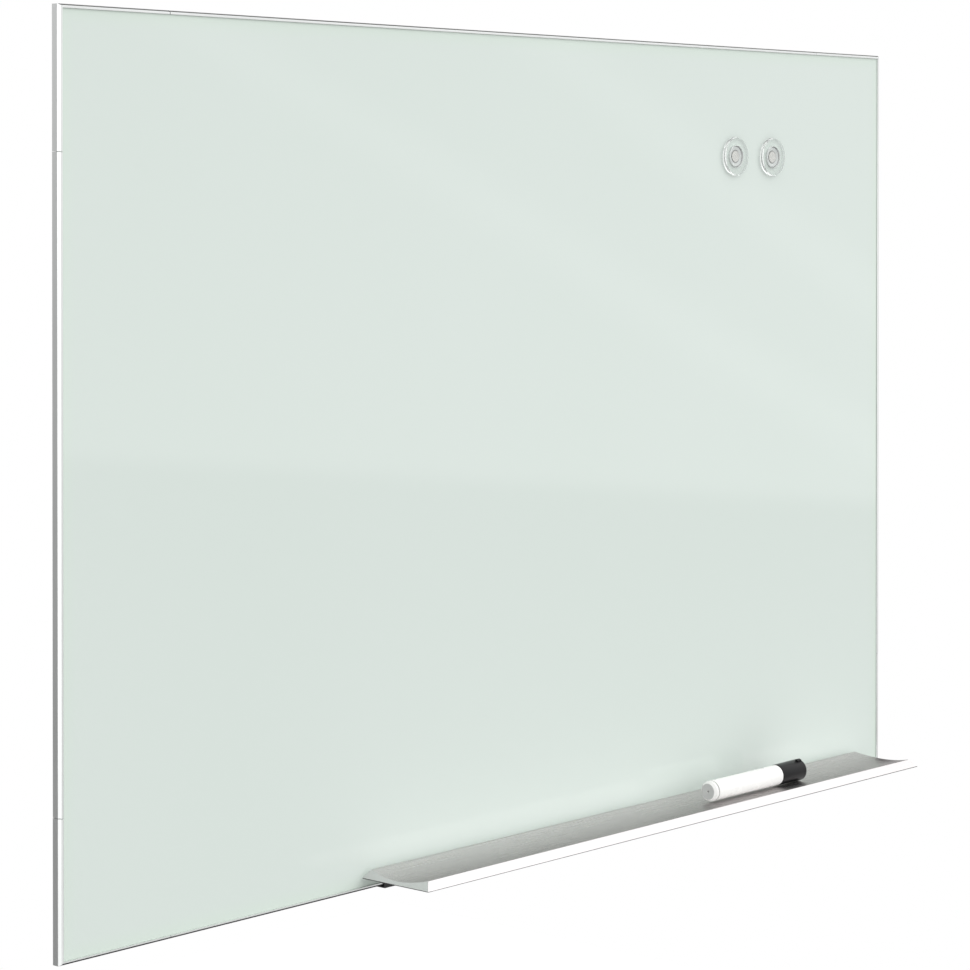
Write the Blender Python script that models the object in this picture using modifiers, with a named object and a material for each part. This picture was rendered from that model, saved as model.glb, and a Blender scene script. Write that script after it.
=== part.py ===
"""Glass whiteboard with a slim aluminium frame, a clip-on pen tray, a marker and two magnets.

The board hangs on a wall rail. Its glass is bonded to a steel sheet, and both sit in a frame
made of four corner pieces and four straight rails. Metres, +Z up, +X to the right, front at -Y.
The origin is the middle of the wall rail's back face, and the wall is the plane y = 0.
"""
import math

import bmesh
import bpy
from mathutils import Matrix, Vector

# Board
BOARD_WIDTH = 0.9144
BOARD_HEIGHT = 0.6096
GLASS_THICKNESS = 0.0032
FILM_THICKNESS = 0.0005
STEEL_THICKNESS = 0.0006
FILM_MARGIN = 0.004
STEEL_MARGIN = 0.001
GLASS_EDGE_ROUND = 0.0003

# Clearances
SEAT_GAP = 0.0003
CUT_OVERRUN = 0.001
WELD_DISTANCE = 0.00001

# Frame section
FRAME_WALL = 0.0012
CHAMFER_WIDTH = 0.00115
CHAMFER_DEPTH = 0.0025
LIP_OVERHANG = 0.00145
LIP_THICKNESS = 0.0008
FLANGE_THICKNESS = 0.0012
FLANGE_WIDTH = 0.014
CORNER_ARM = 0.0935

# Straps that join the frame's pieces at the back
STRAP_LENGTH = 0.040
STRAP_WIDTH = 0.0058
STRAP_THICKNESS = 0.0008
STRAP_EDGE_MARGIN = 0.0006
STRAP_PIN_COUNT = 2
STRAP_PIN_MARGIN = 0.009
STRAP_PIN_RADIUS = 0.0012

# Hanging rails
WALL_GAP = 0.009
RAIL_METAL = 0.0016
WALL_RAIL_LENGTH = 0.600
WALL_RAIL_WEB = 0.028
WALL_RAIL_LIP = 0.010
WALL_HOLE_RADIUS = 0.00275
WALL_HOLE_COUNT = 4
WALL_HOLE_MARGIN = 0.040
HOOK_PLAY = 0.0012
RAIL_HEADROOM = 0.001
BOARD_RAIL_LENGTH = 0.560
BOARD_RAIL_WEB = 0.022
RAIL_MARGIN = 0.003
STUD_RADIUS = 0.002
STUD_COUNT = 4
STUD_MARGIN = 0.030
STUD_TIP = 0.0008
NUT_ACROSS_FLATS = 0.007
NUT_THICKNESS = 0.0022

# Rubber spacers at the lower corners
SPACER_RADIUS = 0.011
SPACER_INSET = 0.045
SPACER_ROUND = 0.001

# Pen tray
TRAY_LENGTH = 0.606
TRAY_DEPTH = 0.064
TRAY_HEIGHT = 0.0060
TRAY_FLOOR = 0.0026
TRAY_FRONT_SLOPE = 0.0058
TRAY_BACK_SLOPE = 0.0038
TRAY_END_SLOPE = 0.0065
TRAY_RIM = 0.0007
TRAY_RAISE = 0.0091
TRAY_SIDE_MARGIN = 0.0356
DISH_STEPS = 28

# Tray clips
CLIP_WIDTH = 0.040
CLIP_INSET = 0.0225
CLIP_WALL = 0.0011
CLIP_ARM_THICKNESS = 0.002
CLIP_ARM_REACH = 0.054
CLIP_HOOK_CLEARANCE = 0.0016
CLIP_SCREW_INSET = 0.0095
CLIP_SCREW_EDGE = 0.005
CLIP_SCREW_RADIUS = 0.0014
CLIP_SCREW_HEAD_RADIUS = 0.0026
CLIP_SCREW_HEAD_THICKNESS = 0.0012
CLIP_SCREW_BITE = 0.0020

# Marker
MARKER_OFFSET = 0.0556
MARKER_LENGTH = 0.1217
BARREL_RADIUS = 0.008
BARREL_WALL = 0.0013
PLUG_HEAD_LENGTH = 0.0044
PLUG_FACE_RADIUS = 0.0062
PLUG_SPIGOT_LENGTH = 0.008
PLUG_SOCKET_RADIUS = 0.0007
PLUG_SOCKET_DEPTH = 0.0012
CAP_LENGTH = 0.0315
CAP_WALL = 0.0008
CAP_FLARE = 0.0003
CAP_END_WALL = 0.0015
CAP_ROUND = 0.0012
CAP_NUB_LENGTH = 0.006
CAP_NUB_WIDTH = 0.0032
CAP_NUB_HEIGHT = 0.0017
CAP_NUB_INSET = 0.0015
CAP_NUB_TURN = math.radians(20)
NECK_WALL = 0.0005
HOLDER_SPIGOT_LENGTH = 0.008
HOLDER_NOSE_WALL = 0.0011
NIB_RADIUS = 0.0022
NIB_ROOT = 0.012
RESERVOIR_GAP = 0.0006

# How the neck, the nib holder's nose and the bare nib share the length inside the cap
NECK_SHARE = 0.30
NOSE_SHARE = 0.34
NIB_SHARE = 0.18
NOSE_CYLINDER_SHARE = 0.35

# Magnets
MAGNET_RADIUS = 0.0155
MAGNET_THICKNESS = 0.0029
MAGNET_BEVEL = 0.0005
MAGNET_ROOF = 0.0007
INSERT_HEIGHT = 0.0010
COLLAR_WALL = 0.00345
CORE_RADIUS = 0.00475
MAGNET_DROP = 0.0889
MAGNET_SIDE_MARGIN = 0.1566
MAGNET_PITCH = 0.0503

# Facets of round pieces
FINE_STEPS = 48
ROUND_STEPS = 32
SMALL_STEPS = 16
SMOOTH_ANGLE = math.radians(35)

# Sizes worked out from the ones above
HALF_WIDTH = BOARD_WIDTH / 2
FRAME_DEPTH = (LIP_THICKNESS + GLASS_THICKNESS + FILM_THICKNESS + STEEL_THICKNESS
               + FLANGE_THICKNESS + 4 * SEAT_GAP)
FRAME_BACK_Y = -WALL_GAP
FRAME_FRONT_Y = FRAME_BACK_Y - FRAME_DEPTH
GLASS_FRONT_Y = FRAME_FRONT_Y + LIP_THICKNESS + SEAT_GAP
FILM_FRONT_Y = GLASS_FRONT_Y + GLASS_THICKNESS + SEAT_GAP
STEEL_FRONT_Y = FILM_FRONT_Y + FILM_THICKNESS + SEAT_GAP
STEEL_BACK_Y = STEEL_FRONT_Y + STEEL_THICKNESS
PANEL_INSET = FRAME_WALL + SEAT_GAP

RAIL_TOP_Z = WALL_RAIL_WEB / 2
LIP_TOP_Z = RAIL_TOP_Z + WALL_RAIL_LIP
HOOK_SLOT = RAIL_METAL + SEAT_GAP + HOOK_PLAY
SHELF_Z = LIP_TOP_Z + RAIL_HEADROOM
BOARD_RAIL_FRONT_Y = STEEL_BACK_Y + SEAT_GAP
BOARD_RAIL_BACK_Y = BOARD_RAIL_FRONT_Y + RAIL_METAL
BOARD_RAIL_TOP_Z = SHELF_Z + RAIL_METAL + BOARD_RAIL_WEB
STUD_Z = SHELF_Z + RAIL_METAL + BOARD_RAIL_WEB / 2
NUT_FRONT_Y = BOARD_RAIL_BACK_Y + SEAT_GAP
NUT_BACK_Y = NUT_FRONT_Y + NUT_THICKNESS
STUD_BACK_Y = NUT_BACK_Y + STUD_TIP
BOARD_TOP_Z = BOARD_RAIL_TOP_Z + RAIL_MARGIN + FLANGE_WIDTH
BOARD_BOTTOM_Z = BOARD_TOP_Z - BOARD_HEIGHT
BOARD_MIDDLE_Z = (BOARD_TOP_Z + BOARD_BOTTOM_Z) / 2

STRAP_INSET = FLANGE_WIDTH - STRAP_EDGE_MARGIN - STRAP_WIDTH / 2
STRAP_MIDDLE_Y = FRAME_BACK_Y + SEAT_GAP + STRAP_THICKNESS / 2

TRAY_OFFSET = HALF_WIDTH - TRAY_SIDE_MARGIN - TRAY_LENGTH / 2
TRAY_BOTTOM_Z = BOARD_BOTTOM_Z + TRAY_RAISE
TRAY_BACK_Y = FRAME_FRONT_Y - SEAT_GAP
TRAY_FRONT_Y = FRAME_FRONT_Y - TRAY_DEPTH
DISH_BACK_Y = FRAME_FRONT_Y - TRAY_BACK_SLOPE - TRAY_RIM
DISH_FRONT_Y = TRAY_FRONT_Y + TRAY_FRONT_SLOPE + TRAY_RIM
DISH_MIDDLE_Y = (DISH_BACK_Y + DISH_FRONT_Y) / 2
DISH_HALF = (DISH_BACK_Y - DISH_FRONT_Y) / 2
DISH_DEPTH = TRAY_HEIGHT - TRAY_FLOOR
DISH_RADIUS = (DISH_HALF ** 2 + DISH_DEPTH ** 2) / (2 * DISH_DEPTH)
CLIP_TOP_Z = TRAY_BOTTOM_Z - SEAT_GAP
CLIP_X = TRAY_LENGTH / 2 - CLIP_INSET - CLIP_WIDTH / 2

BARREL_BORE = BARREL_RADIUS - BARREL_WALL
SPIGOT_RADIUS = BARREL_BORE - SEAT_GAP
NECK_RADIUS = BARREL_BORE + NECK_WALL
CAP_BORE = NECK_RADIUS + SEAT_GAP
CAP_RADIUS = CAP_BORE + CAP_WALL
CAP_END_RADIUS = CAP_RADIUS + CAP_FLARE
CAP_MOUTH = MARKER_LENGTH - CAP_LENGTH
CAP_ROOF = MARKER_LENGTH - CAP_END_WALL
CAP_INSIDE = CAP_ROOF - CAP_MOUTH
SHOULDER = CAP_MOUTH - SEAT_GAP
NECK_END = SHOULDER + NECK_SHARE * CAP_INSIDE
MARKER_REAR_X = TRAY_OFFSET + MARKER_OFFSET
MARKER_Z = TRAY_BOTTOM_Z + TRAY_FLOOR + SEAT_GAP + CAP_END_RADIUS

MAGNET_BACK_Y = GLASS_FRONT_Y - SEAT_GAP
MAGNET_RIGHT_X = HALF_WIDTH - MAGNET_SIDE_MARGIN
MAGNET_LEFT_X = MAGNET_RIGHT_X - MAGNET_PITCH
MAGNET_Z = BOARD_TOP_Z - MAGNET_DROP
POCKET_DEPTH = MAGNET_THICKNESS - MAGNET_ROOF

# Ways to turn a shape that is drawn flat: each lists where its own X, Y and Z point
SECTION_ALONG_X = Matrix(((0, 0, 1), (1, 0, 0), (0, 1, 0))).to_4x4()
FACING_FRONT = Matrix(((1, 0, 0), (0, 0, -1), (0, 1, 0))).to_4x4()
AXIS_ALONG_X = Matrix.Rotation(math.pi / 2, 4, 'Y')


def clear_scene():
    for old in list(bpy.data.objects):
        bpy.data.objects.remove(old, do_unlink=True)


def new_collection(name):
    collection = bpy.data.collections.new(name)
    bpy.context.scene.collection.children.link(collection)
    return collection


def material(name, colour, roughness, metallic=0.0):
    made = bpy.data.materials.new(name)
    made.use_nodes = True
    shader = made.node_tree.nodes['Principled BSDF']
    shader.inputs['Base Color'].default_value = (*colour, 1)
    shader.inputs['Roughness'].default_value = roughness
    shader.inputs['Metallic'].default_value = metallic
    return made


def empty(name, location, parent=None):
    made = bpy.data.objects.new(name, None)
    parts.objects.link(made)
    made.location = location
    made.empty_display_size = STRAP_LENGTH / 2
    if parent:
        hold(made, parent)
    bpy.context.view_layer.update()
    return made


def hold(piece, parent):
    piece.parent = parent
    piece.matrix_parent_inverse = parent.matrix_world.inverted()


def finish(piece, parent, look):
    """Moves a new piece to the parts' collection, gives it its look and hangs it on its body."""
    for collection in list(piece.users_collection):
        collection.objects.unlink(piece)
    parts.objects.link(piece)
    piece.data.materials.clear()
    piece.data.materials.append(look)
    hold(piece, parent)
    bpy.context.view_layer.update()
    return piece


def as_cutter(piece):
    for collection in list(piece.users_collection):
        collection.objects.unlink(piece)
    cutters.objects.link(piece)
    piece.hide_render = True
    piece.display_type = 'WIRE'
    return piece


def mesh_object(name, mesh, place):
    piece = bpy.data.objects.new(name, mesh)
    parts.objects.link(piece)
    piece.matrix_world = place
    return piece


def outline_mesh(name, outlines, thickness):
    """A flat shape with its holes, drawn in XY and made as thick as given, centred on Z = 0."""
    curve = bpy.data.curves.new(name + '_outline', 'CURVE')
    curve.dimensions = '2D'
    curve.fill_mode = 'BOTH'
    curve.extrude = thickness / 2
    for points in outlines:
        spline = curve.splines.new('POLY')
        spline.points.add(len(points) - 1)
        spline.use_cyclic_u = True
        for target, (x, y) in zip(spline.points, points):
            target.co = (x, y, 0, 1)
    drawn = bpy.data.objects.new(name + '_outline', curve)
    bpy.context.scene.collection.objects.link(drawn)
    bpy.context.view_layer.update()
    graph = bpy.context.evaluated_depsgraph_get()
    mesh = bpy.data.meshes.new_from_object(drawn.evaluated_get(graph))
    bpy.data.objects.remove(drawn)
    shape = bmesh.new()
    shape.from_mesh(mesh)
    bmesh.ops.remove_doubles(shape, verts=shape.verts, dist=WELD_DISTANCE)
    bmesh.ops.recalc_face_normals(shape, faces=shape.faces)
    shape.to_mesh(mesh)
    shape.free()
    return shaded(name, mesh)


def shaded(name, mesh):
    """The mesh under its own name, smooth where its faces turn gently."""
    mesh.name = name
    mesh.shade_smooth()
    mesh.set_sharp_from_angle(angle=SMOOTH_ANGLE)
    return mesh


def circle(radius, steps, centre=(0, 0)):
    turn = 2 * math.pi / steps
    return [(centre[0] + radius * math.cos(i * turn), centre[1] + radius * math.sin(i * turn))
            for i in range(steps)]


def block_mesh(name, size):
    shape = bmesh.new()
    bmesh.ops.create_cube(shape, size=1)
    bmesh.ops.scale(shape, vec=size, verts=shape.verts)
    mesh = bpy.data.meshes.new(name)
    shape.to_mesh(mesh)
    shape.free()
    return mesh


def round_edges(piece, width, segments=1):
    bevel = piece.modifiers.new('rounding', 'BEVEL')
    bevel.width = width
    bevel.segments = segments
    bevel.limit_method = 'ANGLE'


def turned(name, profile, steps, place, closed=False):
    """A turned piece: the profile lists (radius, height) down the outer side, top to bottom."""
    shape = bmesh.new()
    points = [shape.verts.new((radius, 0, height)) for radius, height in profile]
    for a, b in zip(points, points[1:]):
        shape.edges.new((a, b))
    if closed:
        shape.edges.new((points[-1], points[0]))
    mesh = bpy.data.meshes.new(name)
    shape.to_mesh(mesh)
    shape.free()
    piece = mesh_object(name, mesh, place)
    screw = piece.modifiers.new('turning', 'SCREW')
    screw.axis = 'Z'
    screw.angle = 2 * math.pi
    screw.steps = steps
    screw.render_steps = steps
    screw.use_merge_vertices = True
    screw.merge_threshold = WELD_DISTANCE
    return mesh_object(name, shaded(name, baked(piece)), place)


def baked(piece):
    """The piece's mesh with its modifiers applied, in its own coordinates."""
    bpy.context.view_layer.update()
    graph = bpy.context.evaluated_depsgraph_get()
    mesh = bpy.data.meshes.new_from_object(piece.evaluated_get(graph))
    bpy.data.objects.remove(piece)
    return mesh


def group_mesh(name, mesh, places):
    """One mesh that holds a separate copy of the given mesh at each place."""
    group = bmesh.new()
    for place in places:
        start = len(group.verts)
        group.from_mesh(mesh)
        group.verts.ensure_lookup_table()
        bmesh.ops.transform(group, matrix=place, verts=group.verts[start:])
    made = bpy.data.meshes.new(name)
    group.to_mesh(made)
    group.free()
    return made


def cut(piece, cutter, operation='DIFFERENCE'):
    boolean = piece.modifiers.new(cutter.name, 'BOOLEAN')
    boolean.operation = operation
    boolean.solver = 'EXACT'
    boolean.object = cutter
    return piece


def spread(count, length, margin):
    """Evenly spaced places along a rail that is centred on zero."""
    step = (length - 2 * margin) / (count - 1)
    return [margin - length / 2 + i * step for i in range(count)]


def rods(name, radius, length, places, steps=SMALL_STEPS):
    """Round cutters or pins of one size, each centred on its place."""
    rod = outline_mesh(name + '_rod', [circle(radius, steps)], length)
    return group_mesh(name, rod, places)


def frame_section(side, back):
    """The frame's hollow section: side is the inset from its outer edge, back the depth."""
    inner_lip = FRAME_WALL + LIP_OVERHANG
    chamfer = min(CHAMFER_WIDTH, FRAME_WALL)
    flange_front = FRAME_DEPTH - FLANGE_THICKNESS
    points = [(0, FRAME_DEPTH), (0, CHAMFER_DEPTH), (chamfer, 0), (inner_lip, 0),
              (inner_lip, LIP_THICKNESS), (FRAME_WALL, LIP_THICKNESS), (FRAME_WALL, flange_front),
              (FLANGE_WIDTH, flange_front), (FLANGE_WIDTH, FRAME_DEPTH)]
    return [(side(inset), back(depth)) for inset, depth in points]


def seams():
    """Each seam's name, its place on the frame's flange and the turn of its strap."""
    found = []
    for end, sign_z in (('top', 1), ('bottom', -1)):
        for hand, sign_x in (('left', -1), ('right', 1)):
            corner = Vector((sign_x * HALF_WIDTH, 0, BOARD_MIDDLE_Z + sign_z * BOARD_HEIGHT / 2))
            lengthwise = corner - Vector((sign_x * CORNER_ARM, 0, sign_z * STRAP_INSET))
            upright = corner - Vector((sign_x * STRAP_INSET, 0, sign_z * CORNER_ARM))
            name = 'joint_strap_' + end + '_' + hand
            found.append((name + '_lengthwise', lengthwise, 0))
            found.append((name + '_upright', upright, math.pi / 2))
    return found


def build_frame():
    rail_length_x = BOARD_WIDTH - 2 * CORNER_ARM - 2 * SEAT_GAP
    rail_length_z = BOARD_HEIGHT - 2 * CORNER_ARM - 2 * SEAT_GAP
    hole_places = [Matrix.Translation(place + Vector((0, FRAME_BACK_Y, 0)))
                   @ Matrix.Rotation(turn, 4, 'Y') @ pin
                   for name, place, turn in seams() for pin in pin_places(0)]
    holes = as_cutter(mesh_object('strap_pin_holes', rods(
        'strap_pin_holes', STRAP_PIN_RADIUS + SEAT_GAP, 2 * FLANGE_THICKNESS + 2 * CUT_OVERRUN,
        hole_places), Matrix()))

    def depth_y(depth):
        return FRAME_FRONT_Y + depth

    lengthwise = (('frame_rail_top', BOARD_TOP_Z, -1), ('frame_rail_bottom', BOARD_BOTTOM_Z, 1))
    for name, edge, inward in lengthwise:
        section = [(y, z) for z, y in frame_section(lambda inset: edge + inward * inset, depth_y)]
        rail = mesh_object(name, outline_mesh(name, [section], rail_length_x), SECTION_ALONG_X)
        finish(cut(rail, holes), board, anodised)
    upright = (('frame_rail_left', -HALF_WIDTH, 1), ('frame_rail_right', HALF_WIDTH, -1))
    for name, edge, inward in upright:
        section = frame_section(lambda inset: edge + inward * inset, depth_y)
        place = Matrix.Translation((0, 0, BOARD_MIDDLE_Z))
        rail = mesh_object(name, outline_mesh(name, [section], rail_length_z), place)
        finish(cut(rail, holes), board, anodised)

    leg = outline_mesh('frame_corner', [frame_section(lambda inset: inset, depth_y)], CORNER_ARM)
    shape = bmesh.new()
    shape.from_mesh(leg)
    bmesh.ops.translate(shape, verts=shape.verts, vec=(0, 0, -CORNER_ARM / 2))
    everything = shape.verts[:] + shape.edges[:] + shape.faces[:]
    bmesh.ops.bisect_plane(shape, geom=everything, plane_co=(0, 0, 0), plane_no=(1, 0, 1),
                           dist=WELD_DISTANCE, clear_outer=True)
    bmesh.ops.rotate(shape, cent=(0, 0, 0), matrix=Matrix.Rotation(math.pi / 4, 3, 'Y'),
                     verts=shape.verts)
    shape.to_mesh(leg)
    shape.free()
    corners = (('top_left', -1, 1, 0), ('top_right', 1, 1, 1), ('bottom_right', 1, -1, 2),
               ('bottom_left', -1, -1, 3))
    for name, sign_x, sign_z, quarter in corners:
        corner_z = BOARD_MIDDLE_Z + sign_z * BOARD_HEIGHT / 2
        place = Matrix.Translation((sign_x * HALF_WIDTH, 0, corner_z))
        turn = Matrix.Rotation(quarter * math.pi / 2 - math.pi / 4, 4, 'Y')
        corner = mesh_object('frame_corner_' + name, leg, place @ turn)
        mirror = corner.modifiers.new('mitre', 'MIRROR')
        mirror.use_axis = (True, False, False)
        mirror.merge_threshold = WELD_DISTANCE
        finish(cut(corner, holes), board, anodised)


def pin_places(y):
    return [Matrix.Translation((x, y, 0)) @ FACING_FRONT
            for x in spread(STRAP_PIN_COUNT, STRAP_LENGTH, STRAP_PIN_MARGIN)]


def build_straps():
    """Each strap bridges a seam, and its pins are pressed through the frame's flange."""
    pin_front = FRAME_BACK_Y - FLANGE_THICKNESS
    pin_length = STRAP_MIDDLE_Y - pin_front
    plate = mesh_object('strap', block_mesh('strap', (STRAP_LENGTH, STRAP_THICKNESS, STRAP_WIDTH)),
                        Matrix.Translation((0, STRAP_MIDDLE_Y, 0)))
    pins = as_cutter(mesh_object('strap_pins', rods(
        'strap_pins', STRAP_PIN_RADIUS, pin_length, pin_places(pin_front + pin_length / 2)),
        Matrix()))
    strap = shaded('joint_strap', baked(cut(plate, pins, 'UNION')))
    bpy.data.objects.remove(pins)
    for name, place, turn in seams():
        position = Matrix.Translation(place + Vector((0, STRAP_MIDDLE_Y, 0)))
        piece = mesh_object(name, strap, position @ Matrix.Rotation(turn, 4, 'Y'))
        finish(piece, board, steel_plated)


def build_panel():
    width = BOARD_WIDTH - 2 * PANEL_INSET
    height = BOARD_HEIGHT - 2 * PANEL_INSET
    layers = (('glass_panel', GLASS_FRONT_Y, GLASS_THICKNESS, 0, glass),
              ('bonding_film', FILM_FRONT_Y, FILM_THICKNESS, FILM_MARGIN, adhesive),
              ('steel_backing', STEEL_FRONT_Y, STEEL_THICKNESS, STEEL_MARGIN, steel_galvanised))
    for name, front_y, thickness, margin, look in layers:
        mesh = block_mesh(name, (width - 2 * margin, thickness, height - 2 * margin))
        place = Matrix.Translation((0, front_y + thickness / 2, BOARD_MIDDLE_Z))
        layer = mesh_object(name, mesh, place)
        if look is glass:
            round_edges(layer, min(GLASS_EDGE_ROUND, thickness / 4))
        if look is steel_galvanised:
            cut(layer, weld_studs(), 'UNION')
        finish(layer, board, look)


def stud_places(y):
    return [Matrix.Translation((x, y, STUD_Z)) @ FACING_FRONT
            for x in spread(STUD_COUNT, BOARD_RAIL_LENGTH, STUD_MARGIN)]


def weld_studs():
    """The threaded studs that stand on the steel's back and carry the board's rail."""
    root = STEEL_BACK_Y - STEEL_THICKNESS / 2
    studs = rods('weld_studs', STUD_RADIUS, STUD_BACK_Y - root,
                 stud_places((root + STUD_BACK_Y) / 2))
    return as_cutter(mesh_object('weld_studs', studs, Matrix()))


def build_wall_rail():
    lip_back = -HOOK_SLOT
    lip_front = lip_back - RAIL_METAL
    section = [(0, -RAIL_TOP_Z), (0, RAIL_TOP_Z), (lip_back, RAIL_TOP_Z), (lip_back, LIP_TOP_Z),
               (lip_front, LIP_TOP_Z), (lip_front, RAIL_TOP_Z - RAIL_METAL),
               (-RAIL_METAL, RAIL_TOP_Z - RAIL_METAL), (-RAIL_METAL, -RAIL_TOP_Z)]
    rail = mesh_object('wall_rail', outline_mesh('wall_rail', [section], WALL_RAIL_LENGTH),
                       SECTION_ALONG_X)
    places = [Matrix.Translation((x, -RAIL_METAL / 2, -RAIL_METAL / 2)) @ FACING_FRONT
              for x in spread(WALL_HOLE_COUNT, WALL_RAIL_LENGTH, WALL_HOLE_MARGIN)]
    holes = rods('wall_rail_holes', WALL_HOLE_RADIUS, RAIL_METAL + 2 * CUT_OVERRUN, places)
    cut(rail, as_cutter(mesh_object('wall_rail_holes', holes, Matrix())))
    finish(rail, wall, aluminium_bare)


def build_board_rail():
    hook_front = SEAT_GAP - HOOK_SLOT
    hook_back = hook_front + RAIL_METAL
    hook_foot = RAIL_TOP_Z + SEAT_GAP
    section = [(hook_front, hook_foot), (hook_back, hook_foot), (hook_back, SHELF_Z + RAIL_METAL),
               (BOARD_RAIL_BACK_Y, SHELF_Z + RAIL_METAL), (BOARD_RAIL_BACK_Y, BOARD_RAIL_TOP_Z),
               (BOARD_RAIL_FRONT_Y, BOARD_RAIL_TOP_Z), (BOARD_RAIL_FRONT_Y, SHELF_Z),
               (hook_front, SHELF_Z)]
    rail = mesh_object('board_rail', outline_mesh('board_rail', [section], BOARD_RAIL_LENGTH),
                       SECTION_ALONG_X)
    holes = rods('board_rail_holes', STUD_RADIUS + SEAT_GAP, RAIL_METAL + 2 * CUT_OVERRUN,
                 stud_places((BOARD_RAIL_FRONT_Y + BOARD_RAIL_BACK_Y) / 2))
    cut(rail, as_cutter(mesh_object('board_rail_holes', holes, Matrix())))
    finish(rail, board, aluminium_bare)

    hexagon = circle(NUT_ACROSS_FLATS / 2 / math.cos(math.pi / 6), 6)
    nut = outline_mesh('rail_nut', [hexagon, circle(STUD_RADIUS + SEAT_GAP, SMALL_STEPS)],
                       NUT_THICKNESS)
    for i, place in enumerate(stud_places((NUT_FRONT_Y + NUT_BACK_Y) / 2)):
        finish(mesh_object(f'rail_nut_{i + 1}', nut, place), board, steel_plated)


def build_spacers():
    front = STEEL_BACK_Y + SEAT_GAP
    length = -front
    profile = [(0, length), (SPACER_RADIUS, length), (SPACER_RADIUS, SPACER_ROUND),
               (SPACER_RADIUS - SPACER_ROUND, 0), (0, 0)]
    for name, sign in (('wall_spacer_left', -1), ('wall_spacer_right', 1)):
        place = Matrix.Translation((sign * (HALF_WIDTH - SPACER_INSET), 0,
                                    BOARD_BOTTOM_Z + SPACER_INSET))
        spacer = turned(name, profile, ROUND_STEPS, place @ FACING_FRONT)
        finish(spacer, board, rubber)


def screw_places():
    """Where the tray's screws stand: two in each clip, near the tray's two thick edges."""
    rows = (('back', TRAY_BACK_Y - CLIP_SCREW_INSET),
            ('front', FRAME_FRONT_Y - CLIP_ARM_REACH + CLIP_SCREW_EDGE))
    return {f'tray_screw_{hand}_{row}': Vector((TRAY_OFFSET + side * CLIP_X, y, 0))
            for hand, side in (('left', -1), ('right', 1)) for row, y in rows}


def build_tray():
    top = TRAY_BOTTOM_Z + TRAY_HEIGHT
    section = [(TRAY_BACK_Y, TRAY_BOTTOM_Z), (TRAY_FRONT_Y, TRAY_BOTTOM_Z),
               (TRAY_FRONT_Y + TRAY_FRONT_SLOPE, top)]
    centre_z = TRAY_BOTTOM_Z + TRAY_FLOOR + DISH_RADIUS
    half_angle = math.asin(DISH_HALF / DISH_RADIUS)
    for i in range(DISH_STEPS + 1):
        angle = half_angle * (2 * i / DISH_STEPS - 1)
        section.append((DISH_MIDDLE_Y + DISH_RADIUS * math.sin(angle),
                        centre_z - DISH_RADIUS * math.cos(angle)))
    section.append((FRAME_FRONT_Y - TRAY_BACK_SLOPE, top))
    mesh = outline_mesh('tray_shelf', [section], TRAY_LENGTH)
    for vertex in mesh.vertices:
        rise = (vertex.co.y - TRAY_BOTTOM_Z) / TRAY_HEIGHT
        vertex.co.z -= math.copysign(rise * TRAY_END_SLOPE, vertex.co.z)
    shelf = mesh_object('tray_shelf', mesh, Matrix.Translation((TRAY_OFFSET, 0, 0))
                        @ SECTION_ALONG_X)
    hole_depth = CLIP_SCREW_BITE + SEAT_GAP
    holes = rods('tray_shelf_holes', CLIP_SCREW_RADIUS + SEAT_GAP, 2 * hole_depth,
                 [Matrix.Translation(place + Vector((0, 0, TRAY_BOTTOM_Z)))
                  for place in screw_places().values()])
    cut(shelf, as_cutter(mesh_object('tray_shelf_holes', holes, Matrix())))
    finish(shelf, tray, anodised)


def build_clips():
    top = CLIP_TOP_Z
    arm_bottom = top - CLIP_ARM_THICKNESS
    arm_front = FRAME_FRONT_Y - CLIP_ARM_REACH
    wall_back = FRAME_FRONT_Y - SEAT_GAP
    wall_front = wall_back - CLIP_WALL
    sole_top = BOARD_BOTTOM_Z - SEAT_GAP
    sole_bottom = sole_top - CLIP_WALL
    hook_front = FRAME_BACK_Y + SEAT_GAP
    hook_back = hook_front + CLIP_WALL
    hook_top = BOARD_BOTTOM_Z + STRAP_INSET - STRAP_WIDTH / 2 - CLIP_HOOK_CLEARANCE
    section = [(arm_front, top), (wall_back, top), (wall_back, sole_top), (hook_front, sole_top),
               (hook_front, hook_top), (hook_back, hook_top), (hook_back, sole_bottom),
               (wall_front, sole_bottom), (wall_front, arm_bottom), (arm_front, arm_bottom)]
    places = [Matrix.Translation(place + Vector((0, 0, top - CLIP_ARM_THICKNESS / 2)))
              for place in screw_places().values()]
    holes = as_cutter(mesh_object('tray_clip_holes', rods(
        'tray_clip_holes', CLIP_SCREW_RADIUS + SEAT_GAP, CLIP_ARM_THICKNESS + 2 * CUT_OVERRUN,
        places), Matrix()))
    for name, side in (('tray_clip_left', -1), ('tray_clip_right', 1)):
        place = Matrix.Translation((TRAY_OFFSET + side * CLIP_X, 0, 0)) @ SECTION_ALONG_X
        clip = mesh_object(name, outline_mesh(name, [section], CLIP_WIDTH), place)
        finish(cut(clip, holes), tray, black_plastic)

    tip = TRAY_BOTTOM_Z + CLIP_SCREW_BITE
    head_top = arm_bottom - SEAT_GAP
    head_bottom = head_top - CLIP_SCREW_HEAD_THICKNESS
    profile = [(0, tip), (CLIP_SCREW_RADIUS, tip), (CLIP_SCREW_RADIUS, head_top),
               (CLIP_SCREW_HEAD_RADIUS, head_top), (CLIP_SCREW_HEAD_RADIUS, head_bottom),
               (0, head_bottom)]
    for name, place in screw_places().items():
        screw = turned(name, profile, SMALL_STEPS, Matrix.Translation(place))
        finish(screw, tray, steel_plated)


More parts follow.
